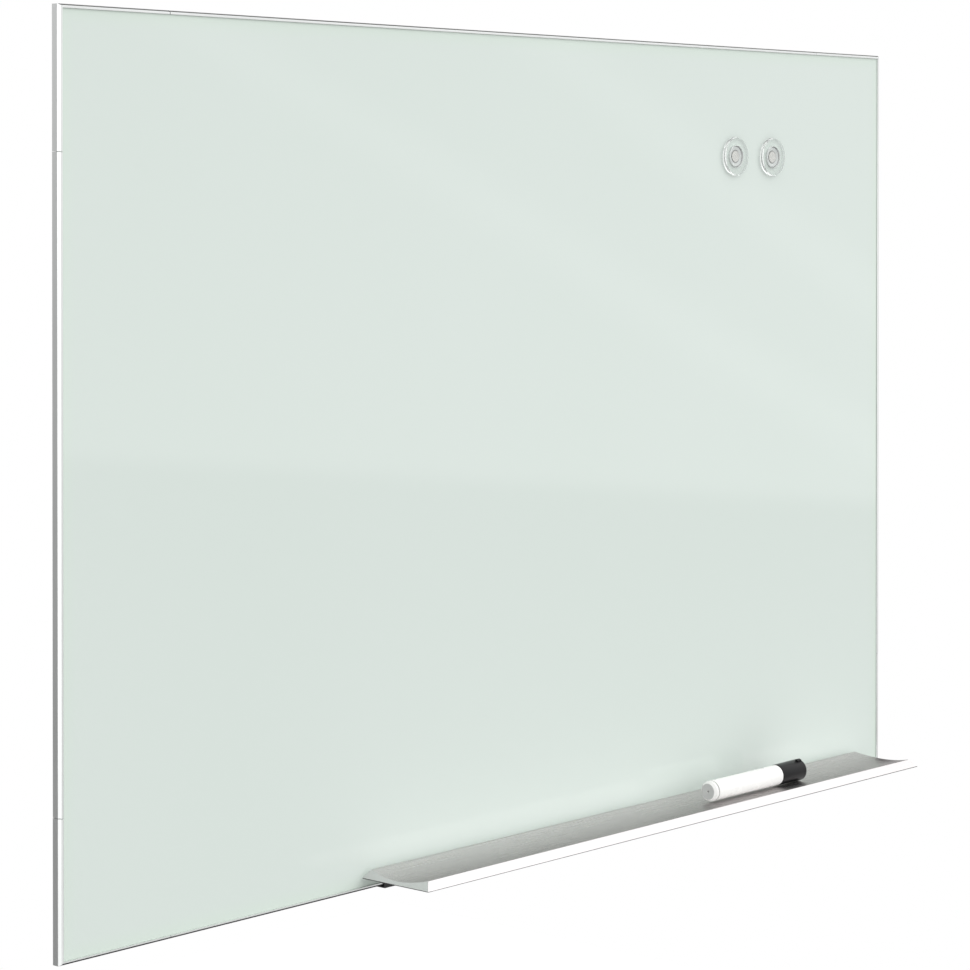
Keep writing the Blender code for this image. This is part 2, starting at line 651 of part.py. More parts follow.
def build_marker():
    place = Matrix.Translation((MARKER_REAR_X, DISH_MIDDLE_Y, MARKER_Z)) @ AXIS_ALONG_X
    rear = PLUG_HEAD_LENGTH + SEAT_GAP
    barrel = turned('marker_barrel', [
        (BARREL_BORE, NECK_END), (NECK_RADIUS, NECK_END), (NECK_RADIUS, SHOULDER),
        (BARREL_RADIUS, SHOULDER), (BARREL_RADIUS, rear), (BARREL_BORE, rear)],
        FINE_STEPS, place, closed=True)
    finish(barrel, marker, white_plastic)

    waist = PLUG_HEAD_LENGTH / 2
    plug = turned('marker_end_plug', [
        (0, rear + PLUG_SPIGOT_LENGTH), (SPIGOT_RADIUS, rear + PLUG_SPIGOT_LENGTH),
        (SPIGOT_RADIUS, PLUG_HEAD_LENGTH), (BARREL_RADIUS, PLUG_HEAD_LENGTH),
        (BARREL_RADIUS, waist), (PLUG_FACE_RADIUS, 0), (PLUG_SOCKET_RADIUS, 0),
        (PLUG_SOCKET_RADIUS, PLUG_SOCKET_DEPTH), (0, PLUG_SOCKET_DEPTH)], FINE_STEPS, place)
    finish(plug, marker, white_plastic)

    flange = NECK_END + SEAT_GAP
    spigot_end = NECK_END - HOLDER_SPIGOT_LENGTH
    nose_length = NOSE_SHARE * CAP_INSIDE
    nose_end = flange + nose_length
    cone = flange + NOSE_CYLINDER_SHARE * nose_length
    bore = NIB_RADIUS + SEAT_GAP
    holder = turned('marker_nib_holder', [
        (bore, nose_end), (bore + HOLDER_NOSE_WALL, nose_end), (SPIGOT_RADIUS, cone),
        (SPIGOT_RADIUS, spigot_end), (bore, spigot_end)], ROUND_STEPS, place, closed=True)
    finish(holder, marker, white_plastic)

    nib_root = spigot_end - NIB_ROOT
    nib_tip = nose_end + NIB_SHARE * CAP_INSIDE
    nib = turned('marker_nib', [
        (0, nib_tip), (NIB_RADIUS / 2, nib_tip - NIB_RADIUS / 4), (NIB_RADIUS, nib_tip - NIB_RADIUS),
        (NIB_RADIUS, nib_root), (0, nib_root)], SMALL_STEPS, place)
    finish(nib, marker, felt_black)

    radius = SPIGOT_RADIUS - RESERVOIR_GAP
    top = spigot_end - SEAT_GAP
    bottom = rear + PLUG_SPIGOT_LENGTH + SEAT_GAP
    socket_floor = nib_root - SEAT_GAP
    reservoir = turned('marker_reservoir', [
        (0, socket_floor), (bore, socket_floor), (bore, top), (radius, top), (radius, bottom),
        (0, bottom)], ROUND_STEPS, place)
    finish(reservoir, marker, felt_black)
    build_cap(place)


def build_cap(place):
    piece = turned('marker_cap', [
        (0, MARKER_LENGTH), (CAP_END_RADIUS - CAP_ROUND, MARKER_LENGTH),
        (CAP_END_RADIUS, MARKER_LENGTH - CAP_ROUND), (CAP_RADIUS, CAP_MOUTH),
        (CAP_BORE, CAP_MOUTH), (CAP_BORE, CAP_ROOF), (0, CAP_ROOF)], FINE_STEPS, place)
    half_height = (CAP_NUB_HEIGHT + CAP_WALL / 2) / 2
    nub_middle = MARKER_LENGTH - CAP_NUB_INSET - CAP_NUB_LENGTH / 2
    nub_place = (Matrix.Translation((MARKER_REAR_X + nub_middle, DISH_MIDDLE_Y, MARKER_Z))
                 @ Matrix.Rotation(CAP_NUB_TURN, 4, 'X')
                 @ Matrix.Translation((0, 0, CAP_END_RADIUS + CAP_NUB_HEIGHT - half_height)))
    nub = mesh_object('cap_nub', block_mesh(
        'cap_nub', (CAP_NUB_LENGTH, CAP_NUB_WIDTH, 2 * half_height)), nub_place)
    round_edges(nub, CAP_NUB_HEIGHT / 4, 2)
    cut(piece, as_cutter(nub), 'UNION')
    finish(piece, cap, black_plastic)


def build_magnet(name, x):
    body = empty(name + '_body', (x, MAGNET_BACK_Y, MAGNET_Z), board)
    place = Matrix.Translation((x, MAGNET_BACK_Y, MAGNET_Z)) @ FACING_FRONT
    bore = CORE_RADIUS + SEAT_GAP
    collar_radius = bore + COLLAR_WALL
    pocket = collar_radius + SEAT_GAP
    lens = turned(name + '_lens', [
        (0, MAGNET_THICKNESS), (MAGNET_RADIUS - MAGNET_BEVEL, MAGNET_THICKNESS),
        (MAGNET_RADIUS, MAGNET_THICKNESS - MAGNET_BEVEL), (MAGNET_RADIUS, 0), (pocket, 0),
        (pocket, POCKET_DEPTH), (0, POCKET_DEPTH)], FINE_STEPS, place)
    finish(lens, body, acrylic)
    collar = turned(name + '_collar', [
        (bore, INSERT_HEIGHT), (collar_radius, INSERT_HEIGHT), (collar_radius, 0), (bore, 0)],
        ROUND_STEPS, place, closed=True)
    finish(collar, body, grey_plastic)
    core = turned(name + '_core', [
        (0, INSERT_HEIGHT), (CORE_RADIUS, INSERT_HEIGHT), (CORE_RADIUS, 0), (0, 0)],
        ROUND_STEPS, place)
    finish(core, body, nickel)


clear_scene()
parts = new_collection('glass_whiteboard')
cutters = new_collection('cutters')

glass = material('back painted glass', (0.72, 0.80, 0.73), 0.05)
anodised = material('anodised aluminium', (0.60, 0.61, 0.61), 0.35, 1.0)
aluminium_bare = material('mill aluminium', (0.66, 0.66, 0.65), 0.45, 1.0)
steel_galvanised = material('galvanised steel', (0.45, 0.47, 0.48), 0.5, 1.0)
steel_plated = material('zinc plated steel', (0.56, 0.57, 0.58), 0.4, 1.0)
adhesive = material('acrylic adhesive film', (0.78, 0.78, 0.74), 0.6)
rubber = material('black rubber', (0.02, 0.02, 0.02), 0.8)
black_plastic = material('black moulded plastic', (0.015, 0.015, 0.016), 0.4)
white_plastic = material('white polypropylene', (0.85, 0.85, 0.84), 0.35)
grey_plastic = material('grey plastic', (0.30, 0.31, 0.31), 0.45)
felt_black = material('ink soaked felt', (0.01, 0.01, 0.012), 0.9)
acrylic = material('clear acrylic', (0.86, 0.90, 0.88), 0.03)
nickel = material('nickel plated magnet', (0.72, 0.71, 0.69), 0.2, 1.0)

wall = empty('wall_body', (0, 0, 0))
board = empty('board_body', (0, FRAME_BACK_Y, RAIL_TOP_Z), wall)
tray = empty('tray_body', (TRAY_OFFSET, FRAME_FRONT_Y, BOARD_BOTTOM_Z), board)
marker = empty('marker_body', (MARKER_REAR_X, DISH_MIDDLE_Y, MARKER_Z), tray)
cap = empty('cap_body', (MARKER_REAR_X + CAP_MOUTH, DISH_MIDDLE_Y, MARKER_Z), marker)

build_wall_rail()
build_board_rail()
build_panel()
build_frame()
build_straps()
build_spacers()
build_tray()
build_clips()
build_marker()
build_magnet('magnet_left', MAGNET_LEFT_X)
build_magnet('magnet_right', MAGNET_RIGHT_X)
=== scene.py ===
import math

import bpy
from mathutils import Matrix, Vector


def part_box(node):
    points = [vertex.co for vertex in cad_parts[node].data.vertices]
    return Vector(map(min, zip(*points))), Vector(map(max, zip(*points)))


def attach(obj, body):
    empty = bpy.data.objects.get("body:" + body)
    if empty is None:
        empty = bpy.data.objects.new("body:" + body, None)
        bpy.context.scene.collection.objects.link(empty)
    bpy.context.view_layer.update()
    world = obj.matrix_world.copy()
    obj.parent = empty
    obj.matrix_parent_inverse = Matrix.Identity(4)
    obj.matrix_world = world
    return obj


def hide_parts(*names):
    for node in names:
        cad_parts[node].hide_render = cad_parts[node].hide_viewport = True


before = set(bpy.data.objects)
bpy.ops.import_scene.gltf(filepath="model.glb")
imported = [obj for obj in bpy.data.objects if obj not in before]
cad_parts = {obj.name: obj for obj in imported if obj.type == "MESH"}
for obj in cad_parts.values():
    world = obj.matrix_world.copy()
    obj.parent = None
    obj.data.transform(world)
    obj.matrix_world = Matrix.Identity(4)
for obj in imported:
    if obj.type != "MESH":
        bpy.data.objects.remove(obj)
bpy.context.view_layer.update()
bpy.context.scene.view_settings.view_transform = 'Standard'

# Camera
# A short telephoto at eye height to the left of the board. The frame is shifted down instead of
# the camera tilting, so the board's upright edges stay upright.
CAMERA_PLACE = Vector((-1.6657, -1.4544, -0.0577))
CAMERA_LENS = 109.34
CAMERA_SENSOR = 36.0
CAMERA_YAW = math.radians(48.26)
CAMERA_PITCH = math.radians(0.607)
CAMERA_ROLL = math.radians(0.020)
PHOTO_SIZE = 970
HORIZON_ROW = 230

camera_data = bpy.data.cameras.new('camera')
camera_data.lens = CAMERA_LENS
camera_data.sensor_width = CAMERA_SENSOR
camera_data.shift_y = HORIZON_ROW / PHOTO_SIZE - 0.5
camera = bpy.data.objects.new('camera', camera_data)
camera.matrix_world = (Matrix.Translation(CAMERA_PLACE)
                       @ Matrix.Rotation(-CAMERA_YAW, 4, 'Z')
                       @ Matrix.Rotation(math.pi / 2 - CAMERA_PITCH, 4, 'X')
                       @ Matrix.Rotation(CAMERA_ROLL, 4, 'Z'))
bpy.context.scene.collection.objects.link(camera)
bpy.context.scene.camera = camera

# Wall rail
# A strip of extruded aluminium, left as it comes from the press, with a hook lip along its top.
# It is screwed to the wall through four plain holes, and the whole board hangs on it. The bare
# metal is a dull light grey, with fine lines along its length.
MILL_LIGHT = '#C9CAC7'
MILL_DARK = '#A9ABAA'
MILL_ROUGHNESS = 0.42
MILL_LINE_MM = 0.9
LINE_STRETCH = 160
LINE_DETAIL = 3
LINE_RELIEF = 0.00002
LINE_RELIEF_SHARE = 0.12
METAL_CLOUD_MM = 71.43
METAL_CLOUD_DETAIL = 2
METAL_TONE_SPREAD = 0.3
METAL_GLOSS_SPREAD = 0.02
MM_PER_METRE = 1000
RAIL_EASING = 0.00018
EASING_STEPS = 2
MERGE_DISTANCE = 0.00001
FLAT_ANGLE = math.radians(0.4)
EASED_ANGLE = math.radians(20)
SMOOTH_ANGLE = math.radians(20)


def linear(text):
    """An sRGB hex colour as the linear colour that a shader takes."""
    parts = [int(text[i:i + 2], 16) / 255 for i in (1, 3, 5)]
    return [p / 12.92 if p <= 0.04045 else ((p + 0.055) / 1.055) ** 2.4 for p in parts] + [1]


def add_node(tree, kind, inputs, **settings):
    """One node with its settings; each input is a value or another node's output."""
    node = tree.nodes.new('ShaderNode' + kind)
    for name, value in settings.items():
        setattr(node, name, value)
    for name, value in inputs.items():
        if isinstance(value, bpy.types.NodeSocket):
            tree.links.new(value, node.inputs[name])
        else:
            node.inputs[name].default_value = value
    return node


def new_look(name, **sockets):
    """A material with one Principled shader, its sockets set by name."""
    look = bpy.data.materials.new(name)
    look.use_nodes = True
    shader = look.node_tree.nodes['Principled BSDF']
    for socket, value in sockets.items():
        shader.inputs[socket.replace('_', ' ')].default_value = value
    return look, look.node_tree, shader


def feed(tree, shader, **sources):
    """Links outputs of nodes to the shader's sockets, which are given by name."""
    for socket, source in sources.items():
        tree.links.new(source, shader.inputs[socket.replace('_', ' ')])


def extruded_metal(name, light, dark, roughness, line_mm, along, **sockets):
    """Metal pressed through a die: fine lines run the whole length of the bar, along x or z.

    The real lines are finer, and these are as coarse as they need to be to show."""
    look, tree, shader = new_look(name, Metallic=1, **sockets)
    across = MM_PER_METRE / line_mm
    length = across / LINE_STRETCH
    scale = (length, across, across) if along == 'x' else (across, across, length)
    place = add_node(tree, 'TexCoord', {})
    drawn = add_node(tree, 'Mapping', {'Vector': place.outputs['Object'], 'Scale': scale})
    lines = add_node(tree, 'TexNoise', {'Vector': drawn.outputs[0], 'Scale': 1,
                                        'Detail': LINE_DETAIL})
    cloud = add_node(tree, 'TexNoise', {'Vector': place.outputs['Object'],
                                        'Scale': MM_PER_METRE / METAL_CLOUD_MM,
                                        'Detail': METAL_CLOUD_DETAIL})
    both = add_node(tree, 'Math', {0: lines.outputs['Fac'], 1: cloud.outputs['Fac']},
                    operation='ADD')
    share = add_node(tree, 'MapRange', {'Value': both.outputs[0], 'From Min': 1 - METAL_TONE_SPREAD,
                                        'From Max': 1 + METAL_TONE_SPREAD})
    tint = add_node(tree, 'Mix', {0: share.outputs[0], 6: linear(dark), 7: linear(light)},
                    data_type='RGBA')
    gloss = add_node(tree, 'MapRange', {'Value': share.outputs[0],
                                        'To Min': roughness + METAL_GLOSS_SPREAD,
                                        'To Max': roughness - METAL_GLOSS_SPREAD})
    relief = add_node(tree, 'Bump', {'Height': lines.outputs['Fac'], 'Strength': LINE_RELIEF_SHARE,
                                     'Distance': LINE_RELIEF})
    feed(tree, shader, Base_Color=tint.outputs[2], Roughness=gloss.outputs[0],
         Normal=relief.outputs[0])
    # Light off dull surfaces meets a matt stand-in of the same colour, which keeps specks away.
    path = add_node(tree, 'LightPath', {})
    bounce = add_node(tree, 'BsdfDiffuse', {'Color': tint.outputs[2]})
    surface = add_node(tree, 'MixShader', {0: path.outputs['Is Diffuse Ray'], 1: shader.outputs[0],
                                           2: bounce.outputs[0]})
    tree.links.new(surface.outputs[0], tree.nodes['Material Output'].inputs['Surface'])
    return look


def edit(piece, step):
    """Runs one step of edit-mode work on a piece that is alone in the selection."""
    bpy.ops.object.select_all(action='DESELECT')
    piece.select_set(True)
    bpy.context.view_layer.objects.active = piece
    bpy.ops.object.mode_set(mode='EDIT')
    step()
    bpy.ops.object.mode_set(mode='OBJECT')
    return piece


def pick_edges(piece, wanted):
    """Selects the edges whose two ends both pass the test, and nothing else."""
    mesh = piece.data
    for group in (mesh.vertices, mesh.edges, mesh.polygons):
        for item in group:
            item.select = False
    for item in mesh.edges:
        a, b = (mesh.vertices[i] for i in item.vertices)
        if wanted(a.co) and wanted(b.co):
            item.select = a.select = b.select = True


def eased(piece, width, segments=EASING_STEPS):
    """Breaks the sharp edges, as deburring, moulding or pressing does, and shades the piece."""
    bpy.ops.object.select_all(action='DESELECT')
    piece.select_set(True)
    bpy.context.view_layer.objects.active = piece
    bpy.ops.object.shade_smooth_by_angle(angle=SMOOTH_ANGLE)
    bevel = piece.modifiers.new('easing', 'BEVEL')
    bevel.width = width
    bevel.segments = segments
    bevel.limit_method = 'ANGLE'
    bevel.angle_limit = EASED_ANGLE
    bevel.harden_normals = True
    bpy.ops.object.modifier_apply(modifier=bevel.name)
    return piece


def worked_copy(node, name):
    """A copy of a solid with its triangles merged back into whole faces, ready to be worked."""
    piece = bpy.data.objects.new(name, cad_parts[node].data.copy())
    piece.data.name = name
    bpy.context.scene.collection.objects.link(piece)

    def merge():
        bpy.ops.mesh.select_all(action='SELECT')
        bpy.ops.mesh.customdata_custom_splitnormals_clear()
        bpy.ops.mesh.remove_doubles(threshold=MERGE_DISTANCE)
        bpy.ops.mesh.mark_sharp(clear=True)
        bpy.ops.mesh.dissolve_limited(angle_limit=FLAT_ANGLE)
        bpy.ops.mesh.select_all(action='DESELECT')

    return edit(piece, merge)


def fit(piece, look, body, slot, *nodes):
    """Gives a finished piece its material and its body, and hides the nodes it stands for. The
    finish slot is not used.
    """
    piece.data.materials.clear()
    piece.data.materials.append(look)
    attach(piece, body)
    if nodes:
        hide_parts(*nodes)
    return piece


mill_aluminium = extruded_metal('mill_finish_aluminium', MILL_LIGHT, MILL_DARK, MILL_ROUGHNESS,
                                MILL_LINE_MM, 'x')
wall_rail = eased(worked_copy('wall_rail', 'wall_rail_extrusion'), RAIL_EASING)
fit(wall_rail, mill_aluminium, 'wall', 'mill_aluminium', 'wall_rail')

# Board rail and its nuts
# A second aluminium extrusion, whose hook drops behind the wall rail's lip. Four hexagonal nuts
# hold it on the studs that are welded to the steel sheet. Bright zinc plating gives the nuts a
# cool and slightly uneven gloss.
ZINC_LIGHT = '#C6CACC'
ZINC_DARK = '#9EA4A9'
ZINC_ROUGHNESS = 0.34
ZINC_GRAIN_MM = 1.5
PLATE_DETAIL = 4
PLATE_GLOSS_SPREAD = 0.1
PLATE_RELIEF = 0.00003
PLATE_RELIEF_SHARE = 0.3
NUT_EASING = 0.0003
NUT_COUNT = 4


def plated_metal(name, light, dark, roughness, grain_mm):
    """Metal with a thin bright plated coat, which lies in soft spots a little lighter and darker.

    The real spots are finer, and these are as coarse as they need to be to show."""
    look, tree, shader = new_look(name, Metallic=1)
    place = add_node(tree, 'TexCoord', {})
    spots = add_node(tree, 'TexNoise', {'Vector': place.outputs['Object'],
                                        'Scale': MM_PER_METRE / grain_mm, 'Detail': PLATE_DETAIL})
    tint = add_node(tree, 'Mix', {0: spots.outputs['Fac'], 6: linear(dark), 7: linear(light)},
                    data_type='RGBA')
    gloss = add_node(tree, 'MapRange', {'Value': spots.outputs['Fac'],
                                        'To Min': roughness + PLATE_GLOSS_SPREAD,
                                        'To Max': roughness - PLATE_GLOSS_SPREAD})
    relief = add_node(tree, 'Bump', {'Height': spots.outputs['Fac'], 'Strength': PLATE_RELIEF_SHARE,
                                     'Distance': PLATE_RELIEF})
    feed(tree, shader, Base_Color=tint.outputs[2], Roughness=gloss.outputs[0],
         Normal=relief.outputs[0])
    return look


zinc_plate = plated_metal('zinc_plated_steel', ZINC_LIGHT, ZINC_DARK, ZINC_ROUGHNESS, ZINC_GRAIN_MM)
board_rail = eased(worked_copy('board_rail', 'board_rail_extrusion'), RAIL_EASING)
fit(board_rail, mill_aluminium, 'board', 'mill_aluminium', 'board_rail')
for i in range(NUT_COUNT):
    node = f'rail_nut_{i + 1}'
    nut = eased(worked_copy(node, node + '_plated'), NUT_EASING)
    fit(nut, zinc_plate, 'board', 'zinc_plated_steel', node)

# Steel sheet and bonding film
# The sheet is hot dip galvanised, with the flat frosty crystals that the zinc leaves as it sets.
# The film is clear adhesive with a milky edge, and hardly shows outside the sandwich.
SPANGLE_MM = 9.0
SPANGLE_LIGHT = '#BCC1C3'
SPANGLE_DARK = '#90979B'
SPANGLE_SMOOTHEST = 0.38
SPANGLE_ROUGHEST = 0.56
SPANGLE_RELIEF = 0.0001
SPANGLE_RELIEF_SHARE = 0.15
FILM_COLOUR = '#E2E3DC'
FILM_ROUGHNESS = 0.5
FILM_MOTTLE_MM = 3.0


def dress(node, look):
    """Gives its material to a solid that keeps its shape."""
    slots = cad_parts[node].data.materials
    slots.clear()
    slots.append(look)


galvanised, tree, shader = new_look('hot_dip_galvanised_steel', Metallic=1)
place = add_node(tree, 'TexCoord', {})
crystals = add_node(tree, 'TexVoronoi', {'Vector': place.outputs['Object'],
                                         'Scale': MM_PER_METRE / SPANGLE_MM})
tone = add_node(tree, 'SeparateColor', {'Color': crystals.outputs['Color']})
tint = add_node(tree, 'Mix', {0: tone.outputs[0], 6: linear(SPANGLE_DARK),
                              7: linear(SPANGLE_LIGHT)}, data_type='RGBA')
gloss = add_node(tree, 'MapRange', {'Value': tone.outputs[1], 'To Min': SPANGLE_SMOOTHEST,
                                    'To Max': SPANGLE_ROUGHEST})
relief = add_node(tree, 'Bump', {'Height': crystals.outputs['Distance'],
                                 'Strength': SPANGLE_RELIEF_SHARE, 'Distance': SPANGLE_RELIEF})
feed(tree, shader, Base_Color=tint.outputs[2], Roughness=gloss.outputs[0], Normal=relief.outputs[0])
dress('steel_backing', galvanised)

film, tree, shader = new_look('acrylic_bonding_film', Roughness=FILM_ROUGHNESS)
place = add_node(tree, 'TexCoord', {})
mottle = add_node(tree, 'TexNoise', {'Vector': place.outputs['Object'],
                                     'Scale': MM_PER_METRE / FILM_MOTTLE_MM})
tint = add_node(tree, 'HueSaturation', {'Color': linear(FILM_COLOUR),
                                        'Value': mottle.outputs['Fac']})
feed(tree, shader, Base_Color=tint.outputs[0])
dress('bonding_film', film)

# Glass
# One sheet of tempered float glass with ground edges, fired with white enamel on its back. The
# iron in the glass gives the pale green, a little deeper towards the rim where more glass shows.
GLASS_COLOUR = '#D3DCD7'
GLASS_SHADE = '#D1DBD5'
GLASS_RIM = '#D1DDD4'
GLASS_ARRIS = 0.0003
FINE_STEPS = 3
GLASS_IOR = 1.5
GLASS_ROUGHNESS = 0.025
GLASS_HAZE = 0.02
RIM_WIDTH = 0.014
GLASS_CLOUD_MM = 240.0
GLASS_CLOUD_DETAIL = 1
WIPE_MM = 55.0
WIPE_DETAIL = 2
WIPE_SWIRL = 1.5
WIPE_START = 0.45
WIPE_FULL = 0.8

low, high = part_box('glass_panel')
bpy.ops.object.select_all(action='DESELECT')
bpy.ops.mesh.primitive_cube_add(size=1, location=(low + high) / 2, scale=high - low)
panel = bpy.context.object
panel.name = panel.data.name = 'glass_sheet'
bpy.ops.object.transform_apply(location=True, rotation=True, scale=True)
eased(panel, GLASS_ARRIS, FINE_STEPS)

# The tone drifts softly over the sheet, and wiping has left faint swirls in its gloss.
painted_glass, tree, shader = new_look('back_enamelled_float_glass', IOR=GLASS_IOR)
place = add_node(tree, 'TexCoord', {})
middle = (low + high) / 2
centred = add_node(tree, 'Mapping', {'Vector': place.outputs['Object'], 'Location': -middle})
axes = add_node(tree, 'SeparateXYZ', {'Vector': centred.outputs[0]})
reach = []
for axis, half in ((0, (high.x - low.x) / 2), (2, (high.z - low.z) / 2)):
    out = add_node(tree, 'Math', {0: axes.outputs[axis]}, operation='ABSOLUTE')
    edge = add_node(tree, 'MapRange', {'Value': out.outputs[0], 'From Min': half - RIM_WIDTH,
                                       'From Max': half}, interpolation_type='SMOOTHSTEP')
    reach.append(edge.outputs[0])
rim = add_node(tree, 'Math', {0: reach[0], 1: reach[1]}, operation='MAXIMUM')
cloud = add_node(tree, 'TexNoise', {'Vector': place.outputs['Object'],
                                    'Scale': MM_PER_METRE / GLASS_CLOUD_MM,
                                    'Detail': GLASS_CLOUD_DETAIL})
body = add_node(tree, 'Mix', {0: cloud.outputs['Fac'], 6: linear(GLASS_SHADE),
                              7: linear(GLASS_COLOUR)}, data_type='RGBA')
tint = add_node(tree, 'Mix', {0: rim.outputs[0], 6: body.outputs[2], 7: linear(GLASS_RIM)},
                data_type='RGBA')
wipes = add_node(tree, 'TexNoise', {'Vector': place.outputs['Object'],
                                    'Scale': MM_PER_METRE / WIPE_MM, 'Detail': WIPE_DETAIL,
                                    'Distortion': WIPE_SWIRL})
gloss = add_node(tree, 'MapRange', {'Value': wipes.outputs['Fac'], 'From Min': WIPE_START,
                                    'From Max': WIPE_FULL, 'To Min': GLASS_ROUGHNESS,
                                    'To Max': GLASS_ROUGHNESS + GLASS_HAZE})
feed(tree, shader, Base_Color=tint.outputs[2], Roughness=gloss.outputs[0])
fit(panel, painted_glass, 'board', 'glass', 'glass_panel')

# Frame
# Four rails and four mitred corner pieces of extruded aluminium, butted with hairline seams. A
# sloped outer edge rolls over into a narrow lip on the glass. Satin anodising makes it a soft even
# silver, and the butted ends are a dull dark grey. The faces that look down carry the same dark
# grey as painted shade.
ANODISED_LIGHT = '#E6E8E7'
ANODISED_DARK = '#E0E2E1'
ANODISED_ROUGHNESS = 0.30
ANODISED_LINE_MM = 0.6
CHAMFER_WIDTH = 0.00115
ROLL_WIDTH = 0.0003
LOW_ROLL_WIDTH = 0.0006
LIP_INSET = 0.00265
LIP_ROUND = 0.0007
ROLL_STEPS = 5
FRAME_EASING = 0.00015
SEAM_HALF = 0.0002
SEAM_AND_SHADE_LIGHT = '#3E3E3E'
SEAM_AND_SHADE_DARK = '#323232'
SEAM_AND_SHADE_ROUGHNESS = 0.7
GREY_MOTTLE_MM = 8.333
GREY_MOTTLE_DETAIL = 3
LOW_FACING = 0.03
NEAR = 0.00003
SIDES = (('top', 'x'), ('bottom', 'x'), ('left', 'z'), ('right', 'z'))
CORNERS = ('top_left', 'top_right', 'bottom_left', 'bottom_right')

frame_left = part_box('frame_rail_left')[0].x
frame_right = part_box('frame_rail_right')[1].x
frame_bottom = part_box('frame_rail_bottom')[0].z
frame_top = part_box('frame_rail_top')[1].z
frame_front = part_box('frame_rail_top')[0].y
seams_x = [corner.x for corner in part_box('frame_rail_top')]
seams_z = [corner.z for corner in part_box('frame_rail_left')]


def on_roll(place):
    """Whether a point lies on the line where the frame's sloped edge meets its lip."""
    reach = min(place.x - frame_left, frame_right - place.x, place.z - frame_bottom,
                frame_top - place.z)
    return abs(place.y - frame_front) < NEAR and abs(reach - CHAMFER_WIDTH) < NEAR


def on_right_lip(place):
    """Whether a point lies on the inner edge of the right side's lip."""
    return (abs(place.y - frame_front) < NEAR
            and abs(frame_right - place.x - LIP_INSET) < NEAR)


def framed(node, look, *more):
    """A frame piece with its lip rolled over, its edges eased and the dark grey of seams and painted
    shade as its last look.
    """
    piece = worked_copy(node, node + '_extrusion')
    roll = LOW_ROLL_WIDTH if 'bottom' in node else ROLL_WIDTH
    for wanted, width in ((on_roll, roll), (on_right_lip, LIP_ROUND)):
        pick_edges(piece, wanted)
        edit(piece, lambda: bpy.ops.mesh.bevel(offset=width, segments=ROLL_STEPS))
    fit(eased(piece, FRAME_EASING), look, 'board', 'anodised_aluminium', node)
    for other in (*more, underside):
        piece.data.materials.append(other)
    return piece


def faces_down(face):
    """Whether a face belongs to the frame's underside or its lower sloped edge."""
    return -face.normal.z > LOW_FACING and face.center.z < frame_bottom + LIP_INSET


def in_seam(place):
    """Whether a point lies at one of the planes where two pieces of the frame are butted."""
    return (min(abs(place.x - x) for x in seams_x) < SEAM_HALF
            or min(abs(place.z - z) for z in seams_z) < SEAM_HALF)


anodised = {along: extruded_metal('satin_anodised_aluminium_' + along, ANODISED_LIGHT, ANODISED_DARK,
                                  ANODISED_ROUGHNESS, ANODISED_LINE_MM, along)
            for along in ('x', 'z')}
# Dark grey for the frame's seams; on faces that look down the same grey is painted shade.
underside, tree, shader = new_look('grey_seams_and_painted_underside_shade', Roughness=SEAM_AND_SHADE_ROUGHNESS)
place = add_node(tree, 'TexCoord', {})
mottle = add_node(tree, 'TexNoise', {'Vector': place.outputs['Object'],
                                     'Scale': MM_PER_METRE / GREY_MOTTLE_MM,
                                     'Detail': GREY_MOTTLE_DETAIL})
tint = add_node(tree, 'Mix', {0: mottle.outputs['Fac'], 6: linear(SEAM_AND_SHADE_DARK),
                              7: linear(SEAM_AND_SHADE_LIGHT)}, data_type='RGBA')
feed(tree, shader, Base_Color=tint.outputs[2])
# In rails and corners, the seams take the dark grey, and the faces that look down take it as painted
# shade.
for side, along in SIDES:
    rail = framed('frame_rail_' + side, anodised[along])
    for face in rail.data.polygons:
        face.material_index = 1 if in_seam(face.center) or faces_down(face) else 0
for corner in CORNERS:
    piece = framed('frame_corner_' + corner, anodised['x'], anodised['z'])
    side_x = frame_left if corner.endswith('left') else frame_right
    side_z = frame_bottom if corner.startswith('bottom') else frame_top
    for face in piece.data.polygons:
        upright = abs(face.center.x - side_x) < abs(face.center.z - side_z)
        dull = in_seam(face.center) or faces_down(face)
        face.material_index = 2 if dull else 1 if upright else 0

# Joint straps
# Short strips of zinc plated steel that bridge the frame's eight seams at the back. Two pins
# pressed through each end of the flange hold them.
STRAP_EASING = 0.0002

for corner in CORNERS:
    for way in ('lengthwise', 'upright'):
        node = f'joint_strap_{corner}_{way}'
        strap = eased(worked_copy(node, node + '_pressed'), STRAP_EASING)
        fit(strap, zinc_plate, 'board', 'zinc_plated_steel', node)

# Wall spacers
# Two black rubber discs at the lower corners of the back. They are cut from bar, stuck to the
# steel sheet, and keep the board upright on the wall.
RUBBER_LIGHT = '#2C2C2D'
RUBBER_DARK = '#1D1D1E'
RUBBER_ROUGHNESS = 0.8
RUBBER_GRAIN_MM = 0.8
RUBBER_DETAIL = 5
RUBBER_RELIEF = 0.0001
RUBBER_RELIEF_SHARE = 0.5
SPACER_EASING = 0.0003

# Cut rubber is dull and almost even, with a fine grain that is drawn coarse enough to show.
rubber, tree, shader = new_look('cut_black_rubber', Roughness=RUBBER_ROUGHNESS)
place = add_node(tree, 'TexCoord', {})
grain = add_node(tree, 'TexNoise', {'Vector': place.outputs['Object'],
                                    'Scale': MM_PER_METRE / RUBBER_GRAIN_MM,
                                    'Detail': RUBBER_DETAIL})
tint = add_node(tree, 'Mix', {0: grain.outputs['Fac'], 6: linear(RUBBER_DARK),
                              7: linear(RUBBER_LIGHT)}, data_type='RGBA')
relief = add_node(tree, 'Bump', {'Height': grain.outputs['Fac'], 'Strength': RUBBER_RELIEF_SHARE,
                                 'Distance': RUBBER_RELIEF})
feed(tree, shader, Base_Color=tint.outputs[2], Normal=relief.outputs[0])
for hand in ('left', 'right'):
    node = 'wall_spacer_' + hand
    spacer = eased(worked_copy(node, node + '_disc'), SPACER_EASING)
    fit(spacer, rubber, 'board', 'black_rubber', node)
